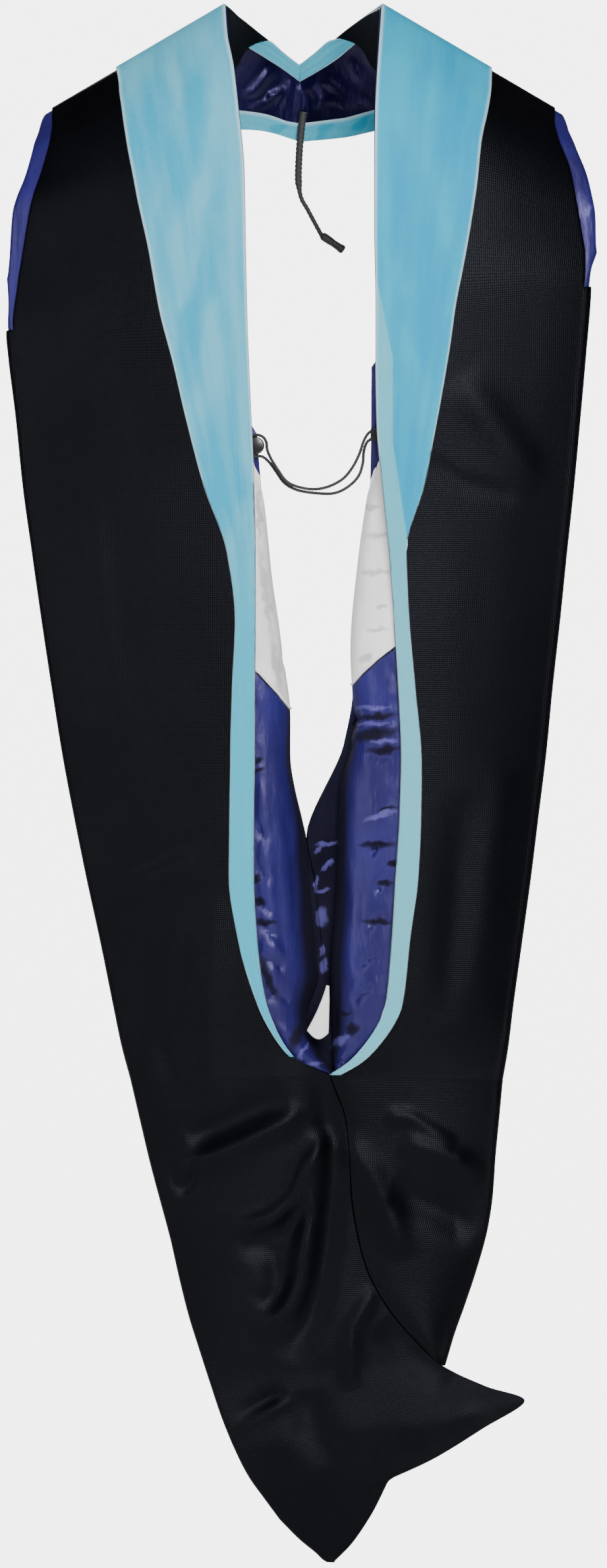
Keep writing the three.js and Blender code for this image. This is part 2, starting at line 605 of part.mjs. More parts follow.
// The small white tab in the valley between the rolls lies on the left roll's inner side
function buildWhiteTab() {
  const rows = [20.1, 20.6, 21.1, 21.5];
  const widths = [0.25, 0.7, 1.3, 1.5];
  const middle = LAST_COLUMN - 2.2;
  const points = [];
  const normals = [];
  rows.forEach((row, i) => {
    const line = [-0.5, 0, 0.5].map((side) => surfaceAt(left, row, middle + side * widths[i]));
    points.push(line.map(({ point }) => point));
    normals.push(line.map(({ normal }) => normal));
  });
  const under = LINING[1] - SEAT_GAP;
  add("white_tab", sheetGeometry({ points, normals }, under, under - WHITE_TAB_CLOTH, () => true), WHITE_SATIN);
}

for (const [side, surface] of [["left", left], ["right", right]]) {
  buildShell(`shell_${side}`, surface);
  buildVelvet(side, surface);
  buildLining(side, surface);
}
buildNeckBand();
add("front_cord", cordGeometry(FRONT_CORD_ROUTE, FRONT_CORD_WIDTH, 2), BLACK_CORD);
buildCordTip();
buildBackCordFittings();
add("back_cord", cordGeometry(BACK_CORD_ROUTE, BACK_CORD_WIDTH, 2.4), BLACK_CORD);
buildWhiteTab();

export default hood;
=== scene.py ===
# %% [markdown]
# # An academic hood, from the CAD frame to a picture
#
# The hood hangs as it does down a wearer's back: a black shell with a light blue velvet edge, a navy satin
# lining with a white chevron, a neck band across the throat, two black cords and a tail twisted to one
# side. The CAD model fixes where every piece is. This notebook rebuilds each piece as thin, smooth cloth in
# the same frame, in metres.
#
# 1. The frame, the camera and the finishes
# 2. Closed sheets and ropes
# 3. One smooth surface for each half, from a table of sections, with folds as lines on it
# 4. Each layer of cloth, as a sheet between two offsets of that surface
# 5. The neck band, the small pieces and the light

import math

import bpy
import numpy as np
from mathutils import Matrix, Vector, noise


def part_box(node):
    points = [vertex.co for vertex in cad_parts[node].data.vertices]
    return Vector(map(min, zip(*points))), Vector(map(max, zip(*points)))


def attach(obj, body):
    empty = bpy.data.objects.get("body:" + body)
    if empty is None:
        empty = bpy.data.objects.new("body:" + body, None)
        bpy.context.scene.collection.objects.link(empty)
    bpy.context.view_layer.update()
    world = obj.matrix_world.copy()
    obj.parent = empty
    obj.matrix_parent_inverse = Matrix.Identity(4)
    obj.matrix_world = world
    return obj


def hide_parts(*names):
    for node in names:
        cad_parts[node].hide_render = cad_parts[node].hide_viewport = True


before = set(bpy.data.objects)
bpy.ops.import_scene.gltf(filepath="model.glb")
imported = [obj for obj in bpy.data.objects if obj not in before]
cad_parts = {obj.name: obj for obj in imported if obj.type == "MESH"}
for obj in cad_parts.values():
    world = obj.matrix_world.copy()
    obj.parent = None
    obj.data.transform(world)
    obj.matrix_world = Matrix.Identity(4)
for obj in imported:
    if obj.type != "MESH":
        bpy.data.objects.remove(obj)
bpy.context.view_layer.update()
MM = 0.001
SEAM_OVERLAP = 0.1 * MM

# %% [markdown]
# ## Camera
#
# The camera looks along +Y at the back of the hood, without perspective, so that a length is the same size
# wherever it lies. The picture is a little higher than the hood.

# %% Camera
PICTURE_HEIGHT = 1.0754
CAMERA_AT = (0, -3, -0.534)

camera_data = bpy.data.cameras.new("camera")
camera_data.type = "ORTHO"
camera_data.ortho_scale = PICTURE_HEIGHT
camera = bpy.data.objects.new("camera", camera_data)
camera.location = CAMERA_AT
camera.rotation_euler = (math.radians(90), 0, 0)
bpy.context.scene.collection.objects.link(camera)
bpy.context.scene.camera = camera

# %% [markdown]
# ## Tools for tables and lines
#
# Every form here comes from a table with few rows. `smooth` joins the rows without overshoot: where a
# column turns back, its slope is nought. A plain spline would swing past such rows and ripple the cloth.

# %% Smooth tables and lines


def smooth(table, at, corners=()):
    """Values of a table's columns at places between its rows. Rows among the corners keep a sharp turn."""
    table = np.asarray(table, float)
    at = np.asarray(at, float)
    steps = np.diff(table, axis=0)
    before, after = steps[:-1], steps[1:]
    same_way = before * after > 0
    total = np.where(same_way, before + after, 1)
    leaving = np.zeros_like(table)
    leaving[1:-1] = np.where(same_way, 2 * before * after / total, 0)
    leaving[0], leaving[-1] = steps[0], steps[-1]
    arriving = leaving.copy()
    for row in corners:
        if row < len(steps):
            leaving[row], arriving[row] = steps[row], steps[row - 1]
    i = np.clip(np.floor(at).astype(int), 0, len(table) - 2)
    u = (at - i).reshape(-1, *[1] * (table.ndim - 1))
    start = (1 + 2 * u) * (1 - u) ** 2 * table[i] + u * (1 - u) ** 2 * leaving[i]
    end = u * u * (3 - 2 * u) * table[i + 1] + u * u * (u - 1) * arriving[i + 1]
    return start + end


def ramp(value, low, high):
    """0 below low, 1 above high, smooth between them."""
    u = np.clip((value - low) / (high - low), 0, 1)
    return u * u * (3 - 2 * u)


def lengths_along(points):
    """The distance of each point from the first, along the line."""
    steps = np.linalg.norm(np.diff(points, axis=0), axis=1)
    return np.concatenate([[0], np.cumsum(steps)])


def smooth_line(route, step):
    """Points step apart on a smooth line through the points of a route."""
    route = np.asarray(route, float)
    knots = np.concatenate([[0], np.cumsum(np.sqrt(np.linalg.norm(np.diff(route, axis=0), axis=1)))])
    slopes = np.gradient(route, knots, axis=0)
    line = []
    for i in range(len(route) - 1):
        width = knots[i + 1] - knots[i]
        for u in np.linspace(0, 1, 24, endpoint=False):
            start = (1 + 2 * u) * (1 - u) ** 2 * route[i] + u * (1 - u) ** 2 * width * slopes[i]
            end = u * u * (3 - 2 * u) * route[i + 1] + u * u * (u - 1) * width * slopes[i + 1]
            line.append(start + end)
    line = np.array([*line, route[-1]])
    run = lengths_along(line)
    count = max(2, round(run[-1] / step) + 1)
    even = np.linspace(0, run[-1], count)
    return np.stack([np.interp(even, run, line[:, k]) for k in range(3)], axis=1)


# %% [markdown]
# ## Shader sums
#
# A cloth's colour is a sum of patterns: a weave, a noise, a streak where the nap lies the other way. In the
# shader editor each sum is a Math node. Written by hand, that is a long list of nodes and links. So one
# small class wraps a node's output and adds the Math nodes itself, and a pattern reads as a line of
# arithmetic.

# %% Sockets that add and multiply


class Socket:
    """An output of a shader node that adds, multiplies and mixes like a number."""

    def __init__(self, finish, output):
        self.finish = finish
        self.output = output

    def math(self, operation, first, second):
        return self.finish.node("ShaderNodeMath", {"operation": operation}, {0: first, 1: second})

    def __add__(self, other):
        return self.math("ADD", self, other)

    def __sub__(self, other):
        return self.math("SUBTRACT", self, other)

    def __rsub__(self, other):
        return self.math("SUBTRACT", other, self)

    def __mul__(self, other):
        return self.math("MULTIPLY", self, other)

    __radd__ = __add__
    __rmul__ = __mul__

    def greatest(self, other):
        return self.math("MAXIMUM", self, other)

    def remap(self, low, high, to_low=0, to_high=1):
        """A smooth step from to_low, where this is at low, to to_high, where it is at high."""
        limits = {"Value": self, "From Min": low, "From Max": high, "To Min": to_low, "To Max": to_high}
        return self.finish.node("ShaderNodeMapRange", {"interpolation_type": "SMOOTHSTEP"}, limits)

    def between(self, first, second):
        """A colour from first, where this is 0, to second, where it is 1."""
        inputs = {"Factor": self, 6: first, 7: second}
        return self.finish.node("ShaderNodeMix", {"data_type": "RGBA"}, inputs, 2)


# %% [markdown]
# ## Finishes
#
# Each material is one Principled shader. Its patterns use the piece's own UV map, in metres, where they
# follow the cloth, as a weave does, or object coordinates, where they belong to a place on the hood, as a
# crease does. Object coordinates are the frame's own, because every piece's object sits at the origin.
#
# A picture of the cloth would be quicker, but it would hold one light and one side only. A pattern made
# from sums can be seen from anywhere and changed by one number.

# %% A finish and its patterns


class Finish:
    """A material with one Principled shader, and the patterns that feed it."""

    def __init__(self, name, color, roughness, **constants):
        self.material = bpy.data.materials.new(name)
        self.material.use_nodes = True
        self.tree = self.material.node_tree
        self.shader = self.tree.nodes["Principled BSDF"]
        self.feed("Base Color", (*color, 1))
        self.feed("Roughness", roughness)
        for key, value in constants.items():
            self.feed(key.replace("_", " "), value)
        self.object = self.node("ShaderNodeTexCoord", {}, {}, "Object")
        self.uv = self.node("ShaderNodeTexCoord", {}, {}, "UV")
        self.wavy = self.object

    def feed(self, key, value, node=None):
        """Links or sets one socket of a node, or else of the shader."""
        socket = (node or self.shader).inputs[key]
        if isinstance(value, Socket):
            self.tree.links.new(value.output, socket)
        elif socket.type == "RGBA" and len(value) == 3:
            socket.default_value = (*value, 1)
        else:
            socket.default_value = value

    def node(self, kind, settings, inputs, output=0):
        """Adds a node, makes its settings and then its sockets, and gives one of its outputs."""
        made = self.tree.nodes.new(kind)
        for name, value in settings.items():
            setattr(made, name, value)
        for key, value in inputs.items():
            self.feed(key, value, made)
        return Socket(self, made.outputs[output])

    def place(self, source, scale):
        return self.node("ShaderNodeMapping", {}, {"Vector": source, "Scale": scale})

    def part(self, source, axis):
        """One coordinate on its own."""
        return self.node("ShaderNodeSeparateXYZ", {}, {0: source}, axis)

    def noise(self, source, scale, detail=3, output="Fac"):
        """Noise with a scale in waves for each metre."""
        inputs = {"Vector": self.place(source, scale), "Scale": 1, "Detail": detail}
        return self.node("ShaderNodeTexNoise", {}, inputs, output)

    def waves(self, axis, scale):
        inputs = {"Vector": self.place(self.uv, (scale, scale, scale)), "Scale": 1}
        return self.node("ShaderNodeTexWave", {"bands_direction": axis}, inputs, "Fac")

    def warp(self, scale, reach):
        """Makes the streaks that follow wander, by up to about half of reach."""
        drift = self.noise(self.object, (scale, scale, scale), detail=2, output="Color")
        inputs = {0: drift, 1: (reach, reach, reach), 2: self.object}
        moved = self.node("ShaderNodeVectorMath", {"operation": "MULTIPLY_ADD"}, inputs)
        inputs = {0: moved, 1: (reach / 2, reach / 2, reach / 2)}
        self.wavy = self.node("ShaderNodeVectorMath", {"operation": "SUBTRACT"}, inputs)

    def streak(self, x, z, lean, half_width, half_length):
        """1 on a soft streak at a place, 0 away from it. It leans from the vertical, to the right."""
        inputs = {
            "Vector": self.wavy,
            "Location": (x, 0, z),
            "Rotation": (0, math.radians(lean), 0),
            "Scale": (half_width, 1, half_length),
        }
        local = self.node("ShaderNodeMapping", {"vector_type": "TEXTURE"}, inputs)
        across, along = self.part(local, 0), self.part(local, 2)
        return (across * across + along * along).remap(0, 1.6, 1, 0)

    def bump(self, height, distance):
        inputs = {"Height": height, "Distance": distance, "Strength": 1}
        self.feed("Normal", self.node("ShaderNodeBump", {}, inputs))


# %% [markdown]
# ## Black gown cloth
#
# The shell is a matt woven cloth. Almost all of what the eye sees of it is a weak shine, bluish, which runs
# along the folds. So the colour is nearly black, the shine is low and the weave is only a bump.

# %% Black cloth


def make_black_cloth():
    finish = Finish("black cloth", (0.001, 0.001, 0.0016), 0.39, Specular_IOR_Level=0.09)
    finish.feed("Specular Tint", (0.8, 0.85, 1))
    tone = finish.noise(finish.object, (14, 14, 9), detail=4).remap(0.3, 0.7)
    finish.feed("Base Color", tone.between((0.0006, 0.0006, 0.0011), (0.0016, 0.0016, 0.0026)))
    weave = finish.waves("X", 220) + finish.waves("Y", 220)
    finish.bump(weave * 0.5 + finish.noise(finish.object, (900, 900, 900), detail=2), 0.00012)
    return finish.material


BLACK_CLOTH = make_black_cloth()

# %% [markdown]
# ## Velvet
#
# Velvet has no shine, but its nap looks pale where it lies one way and deep where it is brushed the other
# way. Those brushed streaks are what tells velvet from felt. Each is a soft ellipse, bent by a noise, at
# the place where the real velvet has it. The turned edge of the strip catches the light, and a pale line
# of painted sheen along both rims stands for it.

# %% Velvet
# Colour of the painted sheen along the rims, where the velvet turns over
PAINTED_EDGE_SHEEN = (0.42, 0.6, 0.67)
VELVET_MAP_WIDTH = 0.079
STRIP_LEAN_ABOVE = -0.2
STRIP_LEAN_BELOW = 0.15


def make_velvet(name, pale, deep, lower, streaks, strip=None):
    """Velvet whose nap is brushed deeper along streaks: (x, z, lean in degrees, half width, half length).

    Strip gives the edge of the narrow strip beside the mouth, which has the lower velvet's colour: its X, and
    the heights above and below which it leans. The strip starts 0.19 below the ridge. On the right that
    colour is paler than the panel's: it is the strip's own velvet, plus painted sheen where the strip faces
    sideways.
    """
    finish = Finish(name, pale, 0.9, Specular_IOR_Level=0.04, Sheen_Weight=0.1, Sheen_Roughness=0.4)
    finish.feed("Sheen Tint", (0.5, 0.85, 1))
    finish.warp(22, 0.04)
    brushed = finish.noise(finish.uv, (70, 9, 9), detail=5).remap(0.35, 0.7) * 0.6
    for streak in streaks:
        brushed = brushed + finish.streak(*streak) * 0.6
    nap = finish.noise(finish.object, (500, 500, 500), detail=2)
    body = (brushed + nap.remap(0.3, 0.8) * 0.15).between(pale, deep)
    height = finish.part(finish.object, 2)
    body = (height.remap(-0.36, -0.44) * 0.8).between(body, lower)
    # On the right, the strip's paler colour is in part painted sheen
    if strip:
        at, top, bottom = strip
        above = (height - top).greatest(0) * STRIP_LEAN_ABOVE
        below = (bottom - height).greatest(0) * STRIP_LEAN_BELOW
        beside = (finish.part(finish.object, 0) - above - below - at).remap(-0.0007, 0.0007, 1, 0)
        body = (beside * height.remap(-0.18, -0.2) * 0.8).between(body, lower)
    # Painted sheen: a pale line along both rims
    rim = (finish.part(finish.uv, 0) * (1 / VELVET_MAP_WIDTH) - 0.5) * 2
    finish.feed("Base Color", ((rim * rim).remap(0.84, 1) * 0.8).between(body, PAINTED_EDGE_SHEEN))
    finish.bump(nap + brushed * 0.8, 0.0004)
    return finish.material


LEFT_STREAKS = [
    (-0.083, -0.1, 15, 0.012, 0.07),
    (-0.07, -0.2, 9, 0.01, 0.075),
    (-0.105, -0.09, 10, 0.014, 0.05),
    (-0.06, -0.33, 4, 0.016, 0.07),
    (-0.063, -0.5, 0, 0.012, 0.16),
]
BAND_STREAKS = [
    (-0.0185, -0.0845, 60, 0.003, 0.008),
    (0.0155, -0.083, 20, 0.0035, 0.009),
    (0.04, -0.0755, 70, 0.003, 0.009),
]
RIGHT_STREAKS = [
    (0.082, -0.18, -12, 0.016, 0.1),
    (0.07, -0.33, 0, 0.014, 0.09),
    (0.11, -0.1, -12, 0.02, 0.08),
]
VELVET_LEFT = make_velvet(
    "blue velvet, left", (0.105, 0.392, 0.522), (0.016, 0.3, 0.468), (0.026, 0.355, 0.5), LEFT_STREAKS
)
VELVET_RIGHT = make_velvet(
    "blue velvet, right",
    (0.014, 0.34, 0.51),
    (0.003, 0.265, 0.46),
    (0.125, 0.42, 0.51),
    RIGHT_STREAKS,
    strip=(0.0613, -0.242, -0.3),
)
VELVET_BAND = make_velvet(
    "blue velvet, band", (0.08, 0.385, 0.512), (0.008, 0.272, 0.4), (0.08, 0.385, 0.512), BAND_STREAKS
)

# %% [markdown]
# ## Satin
#
# Satin is smooth enough to mirror its lights, coloured by its own weave. The navy lining is crushed: it has
# near black creases and small bright glints. Folds in the mesh give the large ones. The fine ones would
# need a mesh ten times as dense, so they are painted as streaks of colour, as on the velvet, over a bump:
# painted shade in the creases, in the deep valley between the rolls and in the white's dents, and painted
# highlights for the glints. A line of colour follows the seam between the white chevron and the navy, where
# the piping is: whiter on the chevron, and painted shade on the navy beside it.

# %% Satin
# Navy of the painted shade in the satin's creases, valley and seam line
NAVY_SHADE = (0.001, 0.001, 0.006)
# Colour of the painted highlights on the navy satin
PAINTED_GLINT = (0.09, 0.08, 0.28)


def make_satin(
    name, color, light, roughness, gleam, creases=(), shade=NAVY_SHADE, glints=(), valley=False, line=None
):
    """Satin with painted shade in creases and valley, and painted glints: streaks, as on the velvet.

    Line gives a width and a colour along the seam, from which the second UV coordinate is measured.
    """
    finish = Finish(name, color, roughness, Specular_IOR_Level=0.38)
    finish.feed("Specular Tint", gleam)
    finish.warp(130, 0.008)
    tone = finish.noise(finish.object, (30, 30, 18)).remap(0.3, 0.75)
    body = tone.between(color, light)
    dark = None
    # Painted shade in the creases
    masks = [finish.streak(*crease) for crease in creases]
    # Painted shade: the satin darkens where it lies deep in the valley between the rolls
    if valley:
        behind = finish.part(finish.object, 1).remap(-0.056, -0.045)
        low = finish.part(finish.object, 2).remap(-0.46, -0.5)
        masks.append(behind * low)
    for mask in masks:
        dark = dark.greatest(mask) if dark else mask
    if dark:
        body = dark.between(body, shade)
    # Painted highlights: lighter lavender glints
    for glint in glints:
        body = (finish.streak(*glint) * 0.7).between(body, PAINTED_GLINT)
    if line:
        width, line_color = line
        on_line = finish.part(finish.uv, 1).remap(width - 0.0003, width + 0.0003, 1, 0)
        body = on_line.between(body, line_color)
    finish.feed("Base Color", body)
    patches = finish.noise(finish.object, (60, 60, 30), detail=2)
    gloss = patches.remap(0.2, 0.8, roughness - 0.05, roughness + 0.1)
    finish.feed("Roughness", gloss + dark * 0.5 if dark else gloss)
    finish.bump(finish.noise(finish.object, (110, 110, 40), detail=4), 0.0012)
    return finish.material


# Streaks of painted shade in the navy lining's creases
LINING_CREASE_SHADE = [
    (0.051, -0.5755, 88, 0.0026, 0.0125),
    (0.0557, -0.6025, 88, 0.0026, 0.006),
    (0.0508, -0.6287, 90, 0.002, 0.0115),
    (0.0615, -0.588, 80, 0.002, 0.004),
    (0.0508, -0.4875, 88, 0.0025, 0.014),
    (0.0475, -0.5, 80, 0.005, 0.018),
    (0.055, -0.5105, 84, 0.003, 0.014),
    (0.0575, -0.5515, 80, 0.002, 0.0085),
    (-0.026, -0.6287, 90, 0.0028, 0.008),
    (-0.0305, -0.615, 30, 0.0045, 0.005),
    (-0.0325, -0.5995, 0, 0.0035, 0.003),
    (-0.0315, -0.525, 70, 0.002, 0.006),
    (-0.0325, -0.5185, 70, 0.0018, 0.005),
    (-0.0245, -0.666, -22, 0.0028, 0.018),
    (-0.004, -0.7055, 24, 0.0052, 0.0125),
    (0.0105, -0.7165, 20, 0.003, 0.006),
    (0.0335, -0.702, 60, 0.004, 0.006),
    (0.0275, -0.692, 85, 0.0025, 0.006),
]
# Streaks of painted highlight on the navy lining
LINING_PAINTED_GLINTS = [
    (0.0165, -0.5752, 84, 0.0013, 0.008),
    (0.0115, -0.578, 50, 0.0013, 0.004),
    (0.0155, -0.5905, 50, 0.0013, 0.0055),
    (0.0195, -0.588, 0, 0.0018, 0.0025),
    (0.0088, -0.6015, 0, 0.0015, 0.005),
    (0.0135, -0.607, 90, 0.0017, 0.0055),
    (0.0125, -0.6245, 0, 0.0045, 0.006),
    (0.0125, -0.648, 0, 0.0018, 0.0045),
    (0.0143, -0.6585, 0, 0.0018, 0.0045),
    (-0.0005, -0.7185, 28, 0.0015, 0.0075),
    (0.005, -0.7265, 84, 0.002, 0.008),
    (0.0255, -0.71, 60, 0.003, 0.007),
    (0.048, -0.482, 88, 0.0016, 0.0125),
    (0.047, -0.4925, 88, 0.0014, 0.0125),
    (0.0555, -0.5045, 86, 0.0016, 0.009),
    (0.053, -0.5555, 70, 0.0022, 0.012),
    (0.195, -0.1405, 0, 0.0025, 0.0035),
]
# Streaks of painted shade in the white satin's dents
WHITE_CREASE_SHADE = [
    (0.0465, -0.344, 80, 0.0022, 0.005),
    (0.0515, -0.364, 84, 0.0024, 0.009),
    (0.0495, -0.389, 90, 0.0028, 0.01),
    (0.0545, -0.4125, 90, 0.002, 0.005),
    (0.051, -0.4275, 84, 0.002, 0.008),
    (0.043, -0.4475, 60, 0.003, 0.006),
    (-0.0265, -0.401, -8, 0.0028, 0.035),
    (-0.0185, -0.454, -10, 0.003, 0.022),
    (-0.0305, -0.349, 0, 0.0018, 0.02),
]
VIOLET = (0.66, 0.6, 1)
NAVY_SATIN = make_satin(
    "navy satin",
    (0.0098, 0.0078, 0.068),
    (0.0165, 0.0135, 0.113),
    0.36,
    VIOLET,
    creases=LINING_CREASE_SHADE,
    glints=LINING_PAINTED_GLINTS,
    valley=True,
    # A line of painted shade on the navy, beside the seam under the piping
    line=(0.0014, NAVY_SHADE),
)
# A darker copy of the navy satin: painted shade on the band, which lies deep inside the hood
SHADED_BAND_SATIN = make_satin(
    "navy satin, neck band, painted shade", (0.001, 0.0008, 0.008), (0.0032, 0.0024, 0.028), 0.3, (0.5, 0.42, 1)
)
WHITE_SATIN = make_satin(
    "white satin",
    (0.79, 0.76, 0.76),
    (0.9, 0.875, 0.875),
    0.4,
    (1, 1, 1),
    creases=WHITE_CREASE_SHADE,
    # Grey of the painted shade in the dents
    shade=(0.52, 0.5, 0.52),
    line=(0.0019, (1, 1, 1)),
)

# %% [markdown]
# ## Cord and plastic
#
# The cords are dull, with a fuzz. The button is polished, so it gets a coat.

# %% Cord and plastic


def make_cord():
    finish = Finish("black cord", (0.006, 0.006, 0.008), 0.62, Sheen_Weight=0.15)
    finish.bump(finish.noise(finish.object, (2600, 2600, 2600), detail=2), 0.0001)
    return finish.material


BLACK_CORD = make_cord()
BLACK_PLASTIC = Finish("black plastic", (0.008, 0.008, 0.01), 0.22, Coat_Weight=0.3).material

# %% [markdown]
# ## Meshes
#
# A sheet of cloth is closed: an outer face, an inner face and a rounded rim between them. A single face
# with no thickness would show no edge, and the hood is read by the edges of its layers. The rim reaches a
# twentieth of a millimetre past the sheet's own edge, so that neighbouring sheets meet as if sewn.

# %% Sheets and their maps


def add_mesh(name, positions, faces, material, uv=None):
    mesh = bpy.data.meshes.new(name)
    mesh.from_pydata([tuple(p) for p in positions], [], [tuple(int(i) for i in f) for f in faces])
    mesh.polygons.foreach_set("use_smooth", [True] * len(mesh.polygons))
    if uv is not None:
        layer = mesh.uv_layers.new(name="UVMap")
        corners = np.zeros(len(mesh.loops), np.int32)
        mesh.loops.foreach_get("vertex_index", corners)
        layer.data.foreach_set("uv", np.asarray(uv, np.float32)[corners].ravel())
    mesh.materials.append(material)
    made = bpy.data.objects.new(f"{name}_piece", mesh)
    bpy.context.scene.collection.objects.link(made)
    return made


def unit(vectors):
    return vectors / np.maximum(np.linalg.norm(vectors, axis=-1, keepdims=True), 1e-12)


def sheet_of(name, outer, inner, material, keep=None, uv=None):
    """A closed sheet between two grids of points, over the cells that keep marks."""
    rows, columns = outer.shape[:2]
    number = np.arange(rows * columns).reshape(rows, columns)
    cells = np.stack([number[:-1, :-1], number[:-1, 1:], number[1:, 1:], number[1:, :-1]], axis=-1)
    cells = cells[keep] if keep is not None else cells.reshape(-1, 4)
    if uv is None:
        uv = grid_uv(outer)
    uv = uv.reshape(-1, 2)
    top = outer.reshape(-1, 3)
    under = inner.reshape(-1, 3)
    edges = np.concatenate([cells[:, [k, (k + 1) % 4]] for k in range(4)])
    key = np.sort(edges, axis=1)
    order = np.unique(key, axis=0, return_inverse=True, return_counts=True)
    border = edges[order[2][order[1].ravel()] == 1]
    away = np.zeros_like(top)
    middle = (top[cells].mean(axis=1))[:, None].repeat(4, axis=1).reshape(-1, 3)
    np.add.at(away, cells.reshape(-1), top[cells.reshape(-1)] - middle)
    used = np.unique(cells)
    renumber = np.full(rows * columns, -1)
    renumber[used] = np.arange(len(used))
    rim = np.unique(border)
    rim_number = np.full(rows * columns, -1)
    rim_number[rim] = 2 * len(used) + np.arange(len(rim))
    through = under - top
    thickness = np.linalg.norm(through, axis=1, keepdims=True)
    flat = away - through * (away * through).sum(1, keepdims=True) / np.maximum(thickness, 1e-9) ** 2
    drawn = unit(flat)
    ring = ((top + under) / 2 + drawn * SEAM_OVERLAP / 2)[rim]
    top, under = top.copy(), under.copy()
    back = (drawn * (thickness / 2 - SEAM_OVERLAP / 2))[rim]
    top[rim] -= back
    under[rim] -= back
    positions = np.concatenate([top[used], under[used], ring])
    faces = [*renumber[cells], *(renumber[cells[:, ::-1]] + len(used))]
    for a, b in border:
        faces.append((renumber[b], renumber[a], rim_number[a], rim_number[b]))
        faces.append((rim_number[b], rim_number[a], renumber[a] + len(used), renumber[b] + len(used)))
    made = add_mesh(name, positions, faces, material, np.concatenate([uv[used], uv[used], uv[rim]]))
    face_outwards(made)
    return made


def face_outwards(made):
    """Turns a closed mesh's faces outwards, if its volume comes out negative."""
    mesh = made.data
    mesh.calc_loop_triangles()
    places = np.array([v.co for v in mesh.vertices])
    corners = np.array([t.vertices for t in mesh.loop_triangles])
    a, b, c = (places[corners[:, k]] for k in range(3))
    if np.einsum("ij,ij->i", a, np.cross(b, c)).sum() < 0:
        mesh.flip_normals()


def grid_uv(points):
    """Distances along each row of a grid and down its middle column, in metres."""
    rows, columns = points.shape[:2]
    along = lengths_along(points[:, columns // 2])
    across = np.stack([lengths_along(points[r]) for r in range(rows)])
    return np.stack([across, along[:, None].repeat(columns, axis=1)], axis=-1)


def grid_area(points):
    """The area of each cell of a grid of points."""
    first = np.cross(points[1:, :-1] - points[:-1, :-1], points[:-1, 1:] - points[:-1, :-1])
    second = np.cross(points[1:, :-1] - points[1:, 1:], points[:-1, 1:] - points[1:, 1:])
    return (np.linalg.norm(first, axis=-1) + np.linalg.norm(second, axis=-1)) / 2


# %% [markdown]
# ## Cords
#
# Each cord is a rope of three twisted strands round its centreline, which is a smooth line through a few
# points in millimetres. The front cord is pressed flat in its upper part, and ends in a knot. The back cord
# hangs doubled between the sides, with a loop round the button. Modelling every strand would hardly show at
# this size, so the strands are three ridges that go round one tube.

# %% Ropes and where they run


def tube_of(name, line, rings):
    """A closed tube of cord, from its middle line and a ring of points round each point of it."""
    sides = len(rings[0])
    positions = [line[0], *(point for ring in rings for point in ring), line[-1]]
    faces = []
    for i in range(len(line) - 1):
        for k in range(sides):
            a, b = 1 + i * sides + k, 1 + i * sides + (k + 1) % sides
            faces.append((a, b, b + sides, a + sides))
    last = len(positions) - 1
    for k in range(sides):
        faces.append((0, 1 + (k + 1) % sides, 1 + k))
        faces.append((last, last - sides + k, last - sides + (k + 1) % sides))
    made = add_mesh(name, positions, faces, BLACK_CORD)
    face_outwards(made)
    return made


def rope_of(name, line, width, strands=3, turn=0.009, sides=18, shape=None):
    """A twisted rope round a line, whose strands go round once in every turn metres.

    Shape gives the breadth and the thickness at each point, as shares of the width.
    """
    shape = np.ones((len(line), 2)) if shape is None else shape
    run = lengths_along(line)
    ahead = unit(np.gradient(line, axis=0))
    side = np.cross(ahead[0], (0, 1, 0))
    rings = []
    for i, middle in enumerate(line):
        side = side - ahead[i] * side.dot(ahead[i])
        side = side / np.linalg.norm(side)
        other = np.cross(ahead[i], side)
        ring = []
        for k in range(sides):
            angle = 2 * math.pi * k / sides
            strand = abs(math.cos(strands / 2 * (angle - 2 * math.pi * run[i] / turn)))
            radius = width / 2 * (0.8 + 0.2 * strand)
            round_it = math.cos(angle) * side * shape[i, 0] + math.sin(angle) * other * shape[i, 1]
            ring.append(middle + radius * round_it)
        rings.append(ring)
    return tube_of(name, line, rings)


FRONT_CORD_ROUTE = [
    [0, 77, -73],
    [-1.2, 76.4, -82],
    [-2.4, 76, -94],
    [-3.2, 75.6, -107],
    [-3.4, 75.2, -121],
    [-1.6, 75, -132],
    [2.8, 75, -140],
    [7.6, 75, -149],
    [12.2, 75, -157.5],
]
CORD_TIP_END = [28.4, 75, -168.6]
BACK_CORD_ROUTE = [
    [47.6, -43.5, -291.2],
    [44, -45.6, -294],
    [41, -47.2, -299.5],
    [38.6, -47.6, -306.8],
    [34.2, -47.6, -315.8],
    [27.3, -47.4, -324.4],
    [17.1, -47.2, -330],
    [7.4, -47, -331.8],
    [-4.4, -46.8, -330],
    [-11.6, -46.4, -326.4],
    [-17.6, -45.4, -318.4],
    [-22.4, -44, -310.6],
    [-24.9, -42.2, -304.6],
    [-25.5, -41.4, -299.6],
    [-27.8, -41.2, -296],
    [-32, -41.2, -294.5],
    [-36.8, -41.2, -296],
    [-39.6, -41.4, -300.6],
    [-38.2, -41.6, -306.2],
    [-33.6, -41.8, -309.1],
    [-28.4, -41.6, -309.4],
    [-24.2, -41.6, -312.6],
    [-19.2, -42.2, -319.2],
    [-13.2, -43, -327.4],
    [-5.4, -44.2, -332],
    [9.5, -44.4, -334.6],
    [21.7, -44.4, -334.4],
    [30.4, -44.4, -330.2],
    [37.6, -44.4, -323],
    [40.6, -44.4, -314.2],
    [41.4, -44.2, -305.6],
    [43.6, -43.8, -299.6],
    [47.4, -43.4, -296.6],
]
FRONT_CORD_WIDTH = 3 * MM
CORD_TIP_WIDTH = 5 * MM
CORD_TIP_LENGTH = 17 * MM
